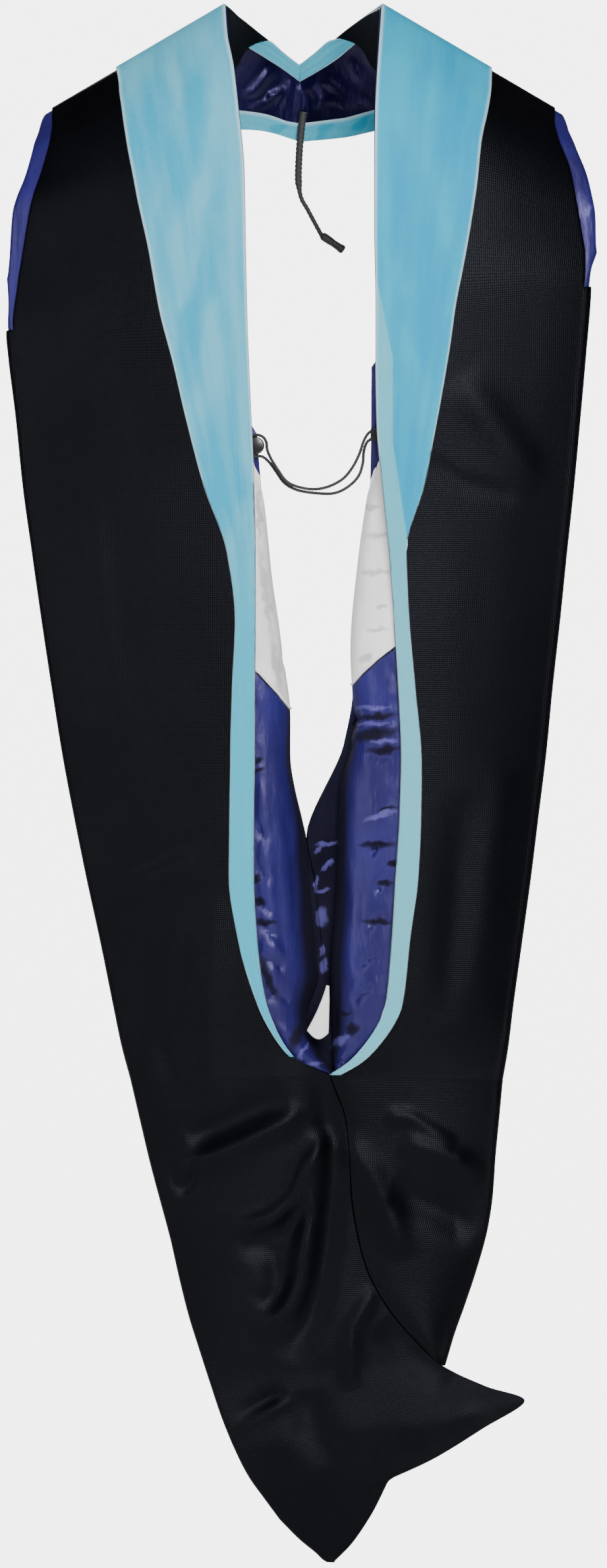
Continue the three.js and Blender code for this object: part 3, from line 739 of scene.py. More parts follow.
BACK_CORD_WIDTH = 2.2 * MM
CORD_STEP = 0.6 * MM

front_line = smooth_line(np.array(FRONT_CORD_ROUTE) * MM, CORD_STEP)
back_line = smooth_line(np.array(BACK_CORD_ROUTE) * MM, CORD_STEP)
front_shape = ramp(lengths_along(front_line)[:, None], 0.048, 0.056) * (-0.65, -0.05) + (1.75, 0.95)
front_cord = rope_of("front_cord", front_line, FRONT_CORD_WIDTH, shape=front_shape)
back_cord = rope_of("back_cord", back_line, BACK_CORD_WIDTH, turn=0.007)

# %% The knotted tip
KNOT_AT = (0, 0.06, 0.12, 0.4, 0.55, 0.75, 0.93, 1)
KNOT_WIDTHS = (0.6, 0.95, 1.2, 1.15, 1.02, 1.08, 1.3, 0.8)
KNOT_RIDGES = 26
KNOT_PAST_LENGTH = 1.8 * MM
KNOT_OVER_CORD = 0.5 * MM


def knot_of(name, start, end, sides=20):
    """A short whipped knot that tapers to the end of its cord."""
    run = np.linspace(0, 1, 45)
    line = start + (end - start) * run[:, None]
    wide = np.interp(run, KNOT_AT, KNOT_WIDTHS) * (0.94 + 0.06 * np.abs(np.cos(run * KNOT_RIDGES)))
    ahead = unit(end - start)
    side = unit(np.cross(ahead, (0, 1, 0)))
    other = np.cross(ahead, side)
    angles = [2 * math.pi * k / sides for k in range(sides)]
    turned = [math.cos(angle) * side + math.sin(angle) * other for angle in angles]
    radii = CORD_TIP_WIDTH / 2 * wide
    rings = [[middle + radius * out for out in turned] for middle, radius in zip(line, radii)]
    return tube_of(name, line, rings)


tip_start = front_line[-1]
tip_run = unit(np.array(CORD_TIP_END) * MM - tip_start)
tip_end = tip_start + (CORD_TIP_LENGTH + KNOT_PAST_LENGTH) * tip_run
cord_tip = knot_of("cord_tip", tip_start - KNOT_OVER_CORD * tip_run, tip_end)

# %% [markdown]
# ## Sections
#
# Each half is drawn by sections from the mouth to the outer edge and back to the hem. Across is a share of
# half the width, down a share of the length, and trim a share of the velvet's width. Rows above the tenth
# have no far cloth. The right half's last row only carries on the seam's line, and has no cloth.

# %% Section tables
HOOD_LENGTH = 1.068
HOOD_WIDTH = 0.410
BACK_DEPTH = 0.072
FRONT_DEPTH = 0.088
TRIM_WIDTH = 0.079
LIP_WIDTH = 0.0125
LIP_TURN = 0.002
FOLD_RADIUS = 0.005
WIDEST_FOLD = 0.35
WIDEST_TRIM = 0.75
NAPE_DIP = 0.014
CROWN = 0.005
ROLL_PART = 0.78
ROLL_POWER = 2.4
EDGE_DROP = 0.0065
LAST_START = 0.97
APPROACH = 0.28
PUCKER = 0.9 * MM
CRUMPLE = 0.5 * MM

RIDGE_ROW = 4
NECK_EDGE_ROW = 10
CHEVRON_TOP_ROW = 11
CHEVRON_POINT_ROW = 15
MOUTH_END_ROW = 23
NOTCH_ROW = 36
TRIM_COLUMN = 3
NEAR_COLUMN = 8
FAR_COLUMN = 12
LAST_COLUMN = 20
LIP_COLUMN = 10

# Columns: mouth across, mouth down, outer across, outer down, trim. Where the hem isn't at the mouth, hem
# across and hem down stand before the trim.
LEFT_SECTIONS = [
    [-0.011, 0.0385, -0.011, 0.0874, 0.46],
    [-0.117, 0.0234, -0.158, 0.0797, 0.62],
    [-0.198, 0.0104, -0.372, 0.0775, 0.76],
    [-0.244, 0.0022, -0.643, 0.0745, 0.93],
    [-0.259, 0, -0.843, 0.0658, 1.1],
    [-0.253, 0.0182, -0.841, 0.0745, 1.05],
    [-0.232, 0.0398, -0.848, 0.0853, 1.04],
    [-0.216, 0.068, -0.875, 0.1048, 1.01],
    [-0.198, 0.1048, -0.911, 0.1264, 0.96],
    [-0.194, 0.1437, -0.954, 0.174, 0.86],
    [-0.189, 0.1913, -0.995, 0.2087, -0.156, 0.2758, 0.76],
    [-0.183, 0.226, -0.988, 0.226, -0.144, 0.3026, 0.67],
    [-0.174, 0.2649, -0.963, 0.2649, -0.129, 0.3364, 0.57],
    [-0.165, 0.3082, -0.94, 0.3082, -0.11, 0.3732, 0.44],
    [-0.16, 0.3515, -0.909, 0.3515, -0.081, 0.4121, 0.25],
    [-0.16, 0.3948, -0.877, 0.3948, -0.05, 0.4545, 0.18],
    [-0.162, 0.4381, -0.843, 0.4381, -0.043, 0.4879, 0.2],
    [-0.162, 0.4814, -0.807, 0.4814, 0.009, 0.5325, 0.215],
    [-0.165, 0.5203, -0.769, 0.5203, 0.038, 0.5636, 0.215],
    [-0.165, 0.5593, -0.728, 0.5593, 0.056, 0.5961, 0.22],
    [-0.153, 0.6026, -0.679, 0.6026, 0.074, 0.6264, 0.165],
    [-0.122, 0.6416, -0.638, 0.6416, 0.09, 0.6545, 0.085],
    [-0.032, 0.6753, -0.609, 0.6684, 0.104, 0.6727, 0.035],
    [0.086, 0.6866, -0.579, 0.69, 0.115, 0.6892, 0.02],
    [0.14, 0.716, -0.546, 0.7173, 0.1],
    [0.153, 0.7411, -0.514, 0.7433, 0.1],
    [0.16, 0.7641, -0.478, 0.7693, 0.1],
    [0.18, 0.7887, -0.446, 0.7922, 0.1],
    [0.214, 0.8126, -0.417, 0.8169, 0.1],
    [0.282, 0.8364, -0.386, 0.8407, 0.1],
    [0.365, 0.8558, -0.351, 0.8623, 0.1],
    [0.458, 0.8727, -0.311, 0.8861, 0.1],
    [0.609, 0.8866, -0.277, 0.9056, 0.1],
    [0.74, 0.8961, -0.231, 0.9273, 0.1],
    [0.598, 0.9143, -0.185, 0.9446, 0.1],
    [0.428, 0.9342, -0.129, 0.9597, 0.1],
    [0.286, 0.9468, -0.079, 0.9727, 0.1],
    [0.23, 0.9684, -0.011, 0.9857, 0.1],
    [0.158, 0.9887, 0.041, 0.9939, 0.06],
    [0.113, 0.9974, 0.065, 0.9983, 0.03],
    [0.1, 0.9999, 0.08, 1, 0.02],
]
RIGHT_SECTIONS = [
    [-0.011, 0.0385, -0.011, 0.0874, 0.46],
    [0.095, 0.0234, 0.135, 0.0845, 0.62],
    [0.18, 0.0104, 0.354, 0.076, 0.76],
    [0.241, 0.0022, 0.627, 0.0745, 0.93],
    [0.259, 0, 0.843, 0.0658, 1.11],
    [0.253, 0.0182, 0.841, 0.0736, 1.08],
    [0.246, 0.0398, 0.855, 0.0853, 1.03],
    [0.239, 0.068, 0.893, 0.1048, 0.96],
    [0.237, 0.1048, 0.915, 0.1264, 0.9],
    [0.237, 0.1437, 0.943, 0.1576, 0.82],
    [0.241, 0.1913, 0.963, 0.1805, 0.228, 0.2325, 0.71],
    [0.241, 0.226, 0.945, 0.226, 0.223, 0.3048, 0.63],
    [0.244, 0.2649, 0.927, 0.2649, 0.205, 0.3342, 0.53],
    [0.262, 0.3082, 0.906, 0.3082, 0.18, 0.3732, 0.37],
    [0.286, 0.3515, 0.882, 0.3515, 0.169, 0.4056, 0.15],
    [0.302, 0.3948, 0.859, 0.3948, 0.165, 0.439, 0.135],
    [0.316, 0.4381, 0.834, 0.4381, 0.133, 0.4749, 0.15],
    [0.325, 0.4814, 0.812, 0.4814, 0.009, 0.5325, 0.18],
    [0.32, 0.5203, 0.787, 0.5203, 0.038, 0.5636, 0.19],
    [0.307, 0.5593, 0.762, 0.5593, 0.056, 0.5961, 0.2],
    [0.293, 0.6026, 0.731, 0.6026, 0.074, 0.6264, 0.16],
    [0.273, 0.6416, 0.703, 0.6416, 0.09, 0.6545, 0.15],
    [0.167, 0.6753, 0.685, 0.6697, 0.104, 0.6727, 0.14],
    [0.086, 0.6866, 0.667, 0.69, 0.115, 0.6892, 0.1],
    [0.14, 0.716, 0.656, 0.713, 0.1],
    [0.153, 0.7411, 0.643, 0.739, 0.1],
    [0.16, 0.7641, 0.634, 0.7636, 0.1],
    [0.18, 0.7887, 0.618, 0.7844, 0.1],
    [0.214, 0.8126, 0.582, 0.8104, 0.1],
    [0.282, 0.8364, 0.541, 0.8342, 0.1],
    [0.365, 0.8558, 0.505, 0.8537, 0.1],
    [0.458, 0.8727, 0.474, 0.8737, 0.04],
    [0.609, 0.8866, 0.44, 0.8937, 0.04],
]

# Columns: mouth depth, outer depth, hem depth, crown, dip, fold radius, lip, each a share of its full measure
DEPTHS = [
    [0.86, 0.97, 0, 0.2, 0, 1, 0],
    [0.71, 0.87, 0, 0.2, 0, 1, 0],
    [0.44, 0.7, 0, 0, 0, 1, 0],
    [0.16, 0.38, 0, 0, 0, 1, 0],
    [0, 0, 0, 0, 0, 1, 0.5],
    [-0.33, -0.12, 0, 0.4, 0, 1, 0.9],
    [-0.55, -0.24, 0, 0.8, 0, 1, 1.05],
    [-0.72, -0.35, 0, 1, 0, 1, 1],
    [-0.83, -0.44, 0, 1, 0, 1, 1],
    [-0.88, -0.5, 0, 1, 0, 1, 0.7],
    [-0.91, -0.55, -0.5, 1, 0, 1, 0.7],
    [-0.92, -0.56, -0.5, 1, 0, 1, 0],
    [-0.93, -0.56, -0.5, 1, 0, 1, 0],
    [-0.93, -0.56, -0.5, 1, 0, 1, 0],
    [-0.93, -0.56, -0.5, 1, 0, 1, 0],
    [-0.93, -0.56, -0.5, 1, 0, 1, 0],
    [-0.93, -0.56, -0.5, 1, 0.2, 1, 0],
    [-0.93, -0.56, -0.48, 1, 0.6, 1, 0],
    [-0.93, -0.56, -0.46, 1, 1, 1, 0],
    [-0.92, -0.56, -0.46, 1, 1, 1, 0],
    [-0.91, -0.57, -0.46, 1, 1, 1, 0],
    [-0.89, -0.58, -0.48, 1, 0.8, 1, 0],
    [-0.85, -0.59, -0.5, 1, 0.5, 1, 0],
    [-0.81, -0.6, -0.52, 1, 0.2, 1, 0],
    [-0.78, -0.61, -0.53, 1, 0, 0.95, 0],
    [-0.76, -0.61, -0.54, 1, 0, 0.9, 0],
    [-0.74, -0.61, -0.54, 1, 0, 0.85, 0],
    [-0.73, -0.61, -0.54, 1, 0, 0.8, 0],
    [-0.72, -0.61, -0.54, 1, 0, 0.75, 0],
    [-0.71, -0.61, -0.54, 1, 0, 0.7, 0],
    [-0.7, -0.61, -0.54, 1, 0, 0.65, 0],
    [-0.69, -0.61, -0.54, 0.6, 0, 0.6, 0],
    [-0.67, -0.61, -0.54, 0.6, 0, 0.6, 0],
    [-0.65, -0.61, -0.55, 0.6, 0, 0.55, 0],
    [-0.65, -0.61, -0.55, 0.5, 0, 0.55, 0],
    [-0.65, -0.61, -0.55, 0.4, 0, 0.5, 0],
    [-0.64, -0.61, -0.55, 0.3, 0, 0.5, 0],
    [-0.63, -0.61, -0.55, 0.2, 0, 0.5, 0],
    [-0.62, -0.61, -0.55, 0, 0, 0.45, 0],
    [-0.61, -0.61, -0.55, 0, 0, 0.4, 0],
    [-0.61, -0.61, -0.55, 0, 0, 0.4, 0],
]

# %% [markdown]
# ## The far cloth
#
# Behind the mouth the cloth goes back from the outer fold to a hem that the viewer sees only inside the
# mouth. There the lining rolls out towards the viewer. Two small tables say how the columns are spread on
# the way and how far the lining rolls in each row.

# %% Tables of the far cloth
# Share of the way from the fold to the hem at the far columns
FAR_COLUMNS = [[0], [0.3], [0.55], [0.7], [0.8], [0.88], [0.94], [0.975], [1]]

# From the neck edge row down: how much the far lining rolls out, and the share of the roll at which each
# side's lining falls off into the valley
ROLL_ROWS = [
    [0, 1, 1],
    [0, 1, 1],
    [0.35, 1, 1],
    [0.6, 1, 1],
    [0.85, 0.98, 1],
    [1, 0.94, 0.94],
    [1, 0.9, 0.74],
    [1, 0.88, 0.62],
    [1, 0.83, 0.69],
    [1, 0.84, 0.77],
    [1, 0.83, 0.88],
    [1, 0.58, 0.92],
    [1, 0.5, 0.92],
    [0.9, 0.5, 0.92],
]


def filled(sections):
    """The section table with the hem at the mouth in rows that don't give it."""
    rows = np.array([row if len(row) == 7 else [*row[:4], *row[:2], row[4]] for row in sections], float)
    step = rows[NECK_EDGE_ROW + 1, 4:6] - rows[NECK_EDGE_ROW, 4:6]
    for row in range(NECK_EDGE_ROW):
        rows[row, 4:6] = rows[NECK_EDGE_ROW, 4:6] + (row - NECK_EDGE_ROW) * step
    return rows


def place(shares):
    """X and Z of places given as shares of half the width and of the length."""
    return shares * (HOOD_WIDTH / 2, -HOOD_LENGTH)


def depth(share):
    return share * np.where(share > 0, FRONT_DEPTH, BACK_DEPTH)


# %% [markdown]
# ## Folds
#
# Gown cloth hangs in long soft folds, and in sharp ones where the tail is twisted. A fold is a line with a
# width and a height, in millimetres. A height above nought stands out, one below nought is a hollow. It
# runs out towards both ends. A cloth simulation would fold elsewhere than the real hood does; lines can be
# laid where the folds are.

# %% Folds of the black cloth


def relief(x, z, folds):
    """How far a cloth stands out at each place, from a list of folds."""
    height = np.zeros(np.broadcast(x, z).shape)
    for width, rise, line in folds:
        line = np.array(line, float) * MM
        run = lengths_along(line)
        nearest = np.full(height.shape, np.inf)
        at = np.zeros(height.shape)
        for i in range(len(line) - 1):
            step = line[i + 1] - line[i]
            share = np.clip(((x - line[i, 0]) * step[0] + (z - line[i, 1]) * step[1]) / (step @ step), 0, 1)
            away = np.hypot(x - line[i, 0] - share * step[0], z - line[i, 1] - share * step[1])
            closer = away < nearest
            nearest = np.where(closer, away, nearest)
            at = np.where(closer, (run[i] + share * (run[i + 1] - run[i])) / run[-1], at)
        height += rise * MM * np.exp(-((nearest / (width * MM)) ** 2)) * (1 - (2 * at - 1) ** 4)
    return height


def rough(x, z, scale, seed, detail=2):
    """Smooth random heights from -1 to 1 over a grid, from a scale in waves for each metre."""
    flat = [
        noise.fractal(Vector((a * scale[0], b * scale[1], seed)), 0.8, 2, detail)
        for a, b in zip(np.ravel(x), np.ravel(z))
    ]
    return np.array(flat).reshape(np.shape(x))


SHELL_FOLDS = [
    (5, -1.6, [(-138, -603), (-115, -593), (-92, -583), (-72, -573)]),
    (7, 1.8, [(-134, -612), (-112, -602), (-75, -583)]),
    (7, 6.8, [(-84, -799), (-74, -794), (-49, -784), (-12, -766), (-2, -755)]),
    (9, -5.2, [(-80, -778), (-51, -765), (-14, -746)]),
    (3, -6, [(-93, -793), (-87, -806), (-82, -816)]),
    (3, -6, [(-82, -816), (-77, -806), (-72, -792)]),
    (5, 4.5, [(-88, -789), (-84, -798), (-80, -806)]),
    (6, 6, [(-50, -835), (-38, -837), (-21, -831), (-6, -818), (2, -796), (17, -777)]),
    (9, -4.5, [(-44, -852), (-15, -846), (2, -822)]),
    (8, 8.2, [(14, -768), (10, -808), (5, -837), (0, -874), (-12, -896), (-30, -915)]),
    (10, -6.8, [(12, -724), (19, -778), (14, -850), (5, -900), (-12, -930)]),
    (9, -4.5, [(-20, -850), (-16, -880), (-26, -895)]),
    (4.5, 4.5, [(-48, -983), (-30, -967), (-10, -955)]),
    (6, -5.2, [(-46, -968), (-31, -961), (-14, -950)]),
    (14, -6, [(62, -809), (92, -824), (124, -841)]),
    (9, 6, [(66, -777), (97, -789), (124, -801)]),
    (5, 3.3, [(56, -762), (74, -763), (104, -781)]),
    (9, 3.8, [(24, -775), (45, -800), (60, -830), (68, -860)]),
    (5, 3.9, [(31, -950), (33, -908), (49, -880)]),
    (12, -3.8, [(52, -905), (72, -925), (100, -945)]),
    (13, 3.3, [(106, -255), (134, -292), (162, -330)]),
    (4.5, -1.8, [(84, -310), (110, -328), (148, -338)]),
    (12, 2.4, [(-150, -330), (-140, -420), (-125, -500)]),
    (14, -2.4, [(-80, -600), (-92, -680), (-90, -760)]),
    (14, 2.4, [(-62, -610), (-70, -680), (-64, -750)]),
    (14, 2.2, [(140, -520), (128, -600), (118, -690)]),
    (12, -2.2, [(110, -540), (104, -620), (96, -700)]),
    (12, -3.3, [(24, -1000), (6, -975), (0, -950)]),
    (7, 3, [(70, -985), (98, -972), (128, -962)]),
]

# %% [markdown]
# ## The surface of a half
#
# All layers follow one surface, so that they lie on each other and never cross. Columns 0 to 3 are the
# velvet's, 3 to 8 the black panel's, 8 to 12 turn round the outer fold, and 12 to 20 are the far cloth's. A
# rolled cloth comes up to the mouth's edge there, as the satin is sewn to the velvet.

# %% One half's surface


class Cloth:
    """Points of one half at rows and columns of its section grid, and the normals there."""

    def __init__(self, sections, sign, rows, columns, rolled=False, waves=0, folds=()):
        self.sign = sign
        self.rows = np.asarray(rows, float)
        self.columns = np.asarray(columns, float)[None, :]
        self.measure(sections)
        near, near_y = self.near_cloth(waves)
        fold, fold_y = self.fold_cloth()
        far, far_y, inside = self.far_cloth(rolled)
        is_near, is_fold = self.columns <= NEAR_COLUMN, self.columns <= FAR_COLUMN
        x, z = (np.where(is_near, near[..., k], np.where(is_fold, fold[..., k], far[..., k])) for k in (0, 1))
        y = np.where(is_near, near_y, np.where(is_fold, fold_y, far_y))
        self.points = np.stack([x, y, z], axis=-1)
        self.find_normals()
        if rolled:
            self.pucker(x, z, inside, folds)

    def measure(self, sections):
        """Where the mouth, the outer fold and the hem are in each row, and how far behind."""
        section = smooth(filled(sections), self.rows, (MOUTH_END_ROW, NOTCH_ROW))[:, None, :]
        deep = smooth(DEPTHS[: len(sections)], self.rows)[:, None, :]
        self.mouth, outer, self.hem = (place(section[..., k : k + 2]) for k in (0, 2, 4))
        self.mouth_y, self.outer_y, hem_y = (depth(deep[..., k]) for k in range(3))
        self.crown, self.dip, fold, self.lip = (deep[..., k] for k in range(3, 7))
        self.hem_y = hem_y + self.dip * NAPE_DIP
        self.trim = section[..., 6] * TRIM_WIDTH
        self.folded = np.clip(self.rows - NECK_EDGE_ROW + 1, 0, 1)[:, None]
        self.outwards = unit(outer - self.mouth)
        widest = WIDEST_FOLD * np.linalg.norm(outer - self.mouth, axis=-1)
        self.radius = np.minimum(FOLD_RADIUS * fold * self.folded, widest)
        self.turn = outer - self.outwards * self.radius[..., None]

    def near_cloth(self, waves):
        """The cloth that a viewer behind the hood sees: the velvet's columns, then the black panel's."""
        width = np.linalg.norm(self.turn - self.mouth, axis=-1)
        trim = np.minimum(self.trim / np.maximum(width, 1e-6), WIDEST_TRIM)
        on_velvet = trim * self.columns / TRIM_COLUMN
        on_panel = trim + (1 - trim) * (self.columns - TRIM_COLUMN) / (NEAR_COLUMN - TRIM_COLUMN)
        share = np.clip(np.where(self.columns <= TRIM_COLUMN, on_velvet, on_panel), 0, 1)
        near = self.mouth + (self.turn - self.mouth) * share[..., None]
        way = np.where(self.rows < RIDGE_ROW, -1, 1)[:, None]
        swell = self.crown * CROWN * 4 * share * (1 - share) * way
        lift = relief(near[..., 0], near[..., 1], SHELL_FOLDS)
        if waves:
            lift = lift + waves * rough(near[..., 0], near[..., 1], (16, 7), 3.1)
        edge = np.minimum(1, 5 * (1 - share)) * ramp(self.rows, RIDGE_ROW, RIDGE_ROW + 1)[:, None]
        return near, self.mouth_y * (1 - share) + self.outer_y * share - swell - lift * edge

    def fold_cloth(self):
        """The turn round the outer fold or, where there is no far cloth, the lining's lip."""
        around = (np.clip(self.columns, NEAR_COLUMN, FAR_COLUMN) - NEAR_COLUMN) / (FAR_COLUMN - NEAR_COLUMN)
        angle = math.pi * (around - 0.5)
        arc = self.turn + self.outwards * (self.radius * np.cos(angle))[..., None]
        arc_y = self.outer_y + self.radius * (1 + np.sin(angle))
        out = np.clip((self.columns - NEAR_COLUMN) / (LIP_COLUMN - NEAR_COLUMN), 0, 1)
        lip = self.turn + self.outwards * (out * self.lip * LIP_WIDTH)[..., None]
        lip_y = self.outer_y + out * out * LIP_TURN
        fold = lip * (1 - self.folded[..., None]) + arc * self.folded[..., None]
        return fold, lip_y * (1 - self.folded) + arc_y * self.folded

    def far_cloth(self, rolled):
        """The cloth from the fold to the hem, flat or rolled out inside the mouth."""
        share = smooth(FAR_COLUMNS, np.clip(self.columns[0] - FAR_COLUMN, 0, LAST_COLUMN - FAR_COLUMN)).T
        y = (self.outer_y + 2 * self.radius) * (1 - share) + self.hem_y * share
        y = y + self.dip * NAPE_DIP * (ramp(share, 0.6, 0.9) - share)
        share = share.repeat(len(self.rows), axis=0)
        inside = np.zeros_like(y)
        if rolled:
            share, y, inside = self.roll_out(share, y)
        far = self.turn + (self.hem - self.turn) * share[..., None]
        bend = 4 - 3 * ramp(self.rows, MOUTH_END_ROW, MOUTH_END_ROW + 2)[:, None]
        far[..., 1] = self.turn[..., 1] + (self.hem[..., 1] - self.turn[..., 1]) * share**bend
        return far, y, inside

    def roll_out(self, share, flat_y):
        """The far lining as a roll, which starts at the mouth's edge and falls off before the hem."""
        roll_rows = np.clip(self.rows - NECK_EDGE_ROW, 0, len(ROLL_ROWS) - 1)
        amount, *brinks = smooth(ROLL_ROWS, roll_rows).T[:, :, None]
        brink = brinks[0] if self.sign < 0 else brinks[1]
        reach = self.hem[..., 0] - self.turn[..., 0]
        start = np.clip((self.mouth[..., 0] - self.turn[..., 0]) / reach, 0, LAST_START)
        fine = np.linspace(0, LAST_COLUMN - FAR_COLUMN, 200)
        first = FAR_COLUMN + np.interp(start, smooth(FAR_COLUMNS, fine)[:, 0], fine)
        inside = np.clip((self.columns - first) / (LAST_COLUMN - first), 0, 1)
        turned = np.clip(inside / ROLL_PART, 0, 1) * math.pi / 2
        brink = start + (1 - start) * brink
        over = np.sin(turned) ** (2 / ROLL_POWER)
        under = 1 - np.cos(turned) ** (2 / ROLL_POWER)
        past = np.clip((inside - ROLL_PART) / (1 - ROLL_PART), 0, 1)
        edge_y = self.mouth_y + EDGE_DROP
        rolled_share = start + (brink - start) * over + (1 - brink) * past
        rolled_y = edge_y + (self.hem_y - edge_y) * under
        before = flat_y + (edge_y - flat_y) * ramp(share, start - APPROACH, start)
        rolled_share = np.where(self.columns > first, rolled_share, share)
        rolled_y = np.where(self.columns > first, rolled_y, before)
        return share + (rolled_share - share) * amount, flat_y + (rolled_y - flat_y) * amount, inside

    def pucker(self, x, z, inside, folds):
        """Lays the satin's folds on the roll, with small puckers by the seam and crumples beyond it."""
        by_seam = PUCKER * rough(x, z, (26, 70), self.sign * 5.3) * np.exp(-((inside / 0.3) ** 2))
        beyond = CRUMPLE * rough(x, z, (75, 17), self.sign * 9.7) * ramp(inside, 0.1, 0.4)
        shown = ramp(inside, 0, 0.05) * (self.columns > FAR_COLUMN)
        lift = (relief(x, z, folds) + by_seam + beyond) * shown
        self.points = self.points - self.normals * lift[..., None]
        self.find_normals()

    def find_normals(self):
        along = np.gradient(self.points, axis=0)
        across = np.gradient(self.points, axis=1)
        self.normals = unit(np.cross(along, across)) * self.sign

    def offset(self, distance):
        return self.points + self.normals * np.broadcast_to(distance, self.points.shape[:2])[..., None]


# %% [markdown]
# ## Layers
#
# The velvet lies on the black shell's outside and the lining on its inside, each a small clearance away.
# Every piece takes the rows and columns of the surface that its cloth covers. The cut that a sheet declares
# is what its surface measures along its longest row and column, as it would be laid flat on a table.

# %% Rows, columns, layers and what a sheet stands for


def steps(first, last, count):
    """Rows or columns with count steps to each whole one."""
    return np.linspace(first, last, round((last - first) * count) + 1)


def stretches(*ends):
    """Columns from 0 on, in stretches given by their last column and their steps to each whole one."""
    columns = [[0]]
    first = 0
    for last, count in ends:
        columns.append(steps(first, last, count)[1:])
        first = last
    return np.concatenate(columns)


SHELL_CLOTH = 1.2 * MM
LINING_CLOTH = 1.0 * MM
VELVET_CLOTH = 1.6 * MM
BAND_CLOTH = 1.0 * MM
TAB_CLOTH = 0.8 * MM
CLEARANCE = 0.35 * MM

# Offsets of the layers from the outside of the shell
SHELL = (0, -SHELL_CLOTH)
VELVET = (CLEARANCE + VELVET_CLOTH, CLEARANCE)
LINING = (-SHELL_CLOTH - CLEARANCE, -SHELL_CLOTH - CLEARANCE - LINING_CLOTH)
BAND = (LINING[1] - CLEARANCE, LINING[1] - CLEARANCE - BAND_CLOTH)

SIDES = {"left": (LEFT_SECTIONS, -1), "right": (RIGHT_SECTIONS, 1)}


def cells(rows, columns, rule):
    """Which cells of a grid a piece takes, from each cell's first row and column."""
    return rule(rows[:-1, None] + 1e-6, columns[None, :-1] + 1e-6)


def declare(made, node, area, points, tapered=False):
    """What a piece of cloth stands for, and the flat cut that its surface has."""
    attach(made, "root")
    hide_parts(node)
    across = max(lengths_along(line)[-1] for line in points)
    columns = [points.shape[1] * 2 // 3] if tapered else range(points.shape[1])
    along = max(lengths_along(points[:, k])[-1] for k in columns)
    flat = (round(min(across, along), 3), round(max(across, along), 3))
    area = min(area, flat[0] * flat[1])
    print("sheet", node, flat, round(float(area), 4))


# %% [markdown]
# ## Black shell
#
# The hood's body is one black cloth on each side. It comes down from the shoulder, turns round the outer
# fold and goes back inwards. Above the neck's edge there is no far cloth, only the panel.

# %% Shells
LAST_ROWS = {"left": 40, "right": 31}
SHELL_COLUMNS = stretches((TRIM_COLUMN, 4), (NEAR_COLUMN, 7), (FAR_COLUMN, 3), (LAST_COLUMN, 4))
WAVES = 0.7 * MM

for side, (sections, sign) in SIDES.items():
    rows = steps(0, LAST_ROWS[side], 9)
    cloth = Cloth(sections, sign, rows, SHELL_COLUMNS, waves=WAVES)
    keep = cells(rows, SHELL_COLUMNS, lambda r, c: (c < NEAR_COLUMN) | (r >= NECK_EDGE_ROW))
    outer, inner = cloth.offset(SHELL[0]), cloth.offset(SHELL[1])
    made = sheet_of(f"shell_{side}", outer, inner, BLACK_CLOTH, keep)
    area = grid_area(outer)[keep].sum()
    declare(made, f"shell_{side}", area, outer[rows >= NECK_EDGE_ROW])

# %% [markdown]
# ## Velvet edge
#
# The wide upper part ends in a point, and lies on a narrow strip that goes on round the mouth. A groove and
# a small ridge beside it mark where the wide part stops.

# %% Velvets
VELVET_FOLDS = {
    "left": [
        (0.9, -0.8, [(-47, -215), (-44.5, -289), (-41.5, -387), (-47, -408)]),
        (1.3, 0.6, [(-49, -215), (-46.5, -289), (-44, -380), (-48, -402)]),
        (6, 0.9, [(-75, -50), (-85, -100), (-90, -158)]),
        (5, 0.8, [(-59, -136), (-68, -181), (-72, -226), (-74, -274)]),
        (5, -0.7, [(-64, -136), (-73, -181), (-78, -226)]),
    ],
    "right": [
        (0.9, -0.8, [(55, -205), (60.5, -243), (62.5, -269), (61, -301), (65.5, -330), (71.5, -378)]),
        (1.3, 0.6, [(57, -205), (62.5, -243), (64.5, -269), (63, -301), (67.5, -330), (72, -372)]),
        (6, 0.9, [(60, -114), (70, -144), (77, -202)]),
        (5, -0.7, [(73, -129), (82, -195)]),
    ],
}
TRIM_END_ROWS = {"left": 22, "right": 23}
VELVET_COLUMNS = stretches((TRIM_COLUMN, 16), (NEAR_COLUMN, 5))

for side, (sections, sign) in SIDES.items():
    rows = steps(0, TRIM_END_ROWS[side], 9)
    cloth = Cloth(sections, sign, rows, VELVET_COLUMNS, waves=WAVES)
    keep = cells(rows, VELVET_COLUMNS, lambda r, c: (c < TRIM_COLUMN) | (r < 2))
    x, z = cloth.points[..., 0], cloth.points[..., 2]
    lift = relief(x, z, VELVET_FOLDS[side]) * ramp(rows, RIDGE_ROW, RIDGE_ROW + 1)[:, None]
    outer, inner = cloth.offset(VELVET[0] + lift), cloth.offset(VELVET[1])
    share = np.minimum(VELVET_COLUMNS / TRIM_COLUMN, 1)[None].repeat(len(rows), axis=0)
    along = lengths_along(outer[:, 4])[:, None].repeat(len(VELVET_COLUMNS), axis=1)
    uv = np.stack([share * TRIM_WIDTH, along], axis=-1)
    material = VELVET_LEFT if side == "left" else VELVET_RIGHT
    made = sheet_of(f"velvet_{side}", outer, inner, material, keep, uv)
    wide = outer[:, VELVET_COLUMNS <= TRIM_COLUMN]
    area = grid_area(outer)[keep].sum()
    declare(made, f"velvet_{side}", area, wide)

# %% [markdown]
# ## Lining
#
# Navy satin at the neck, a white chevron, and navy satin below it, which rolls out inside the mouth. The
# satin is puckered where it is sewn to the velvet. The chevron's lower seam has a piping: a thin ridge in
# the white sheet itself, for which the grid has a few closer rows there.

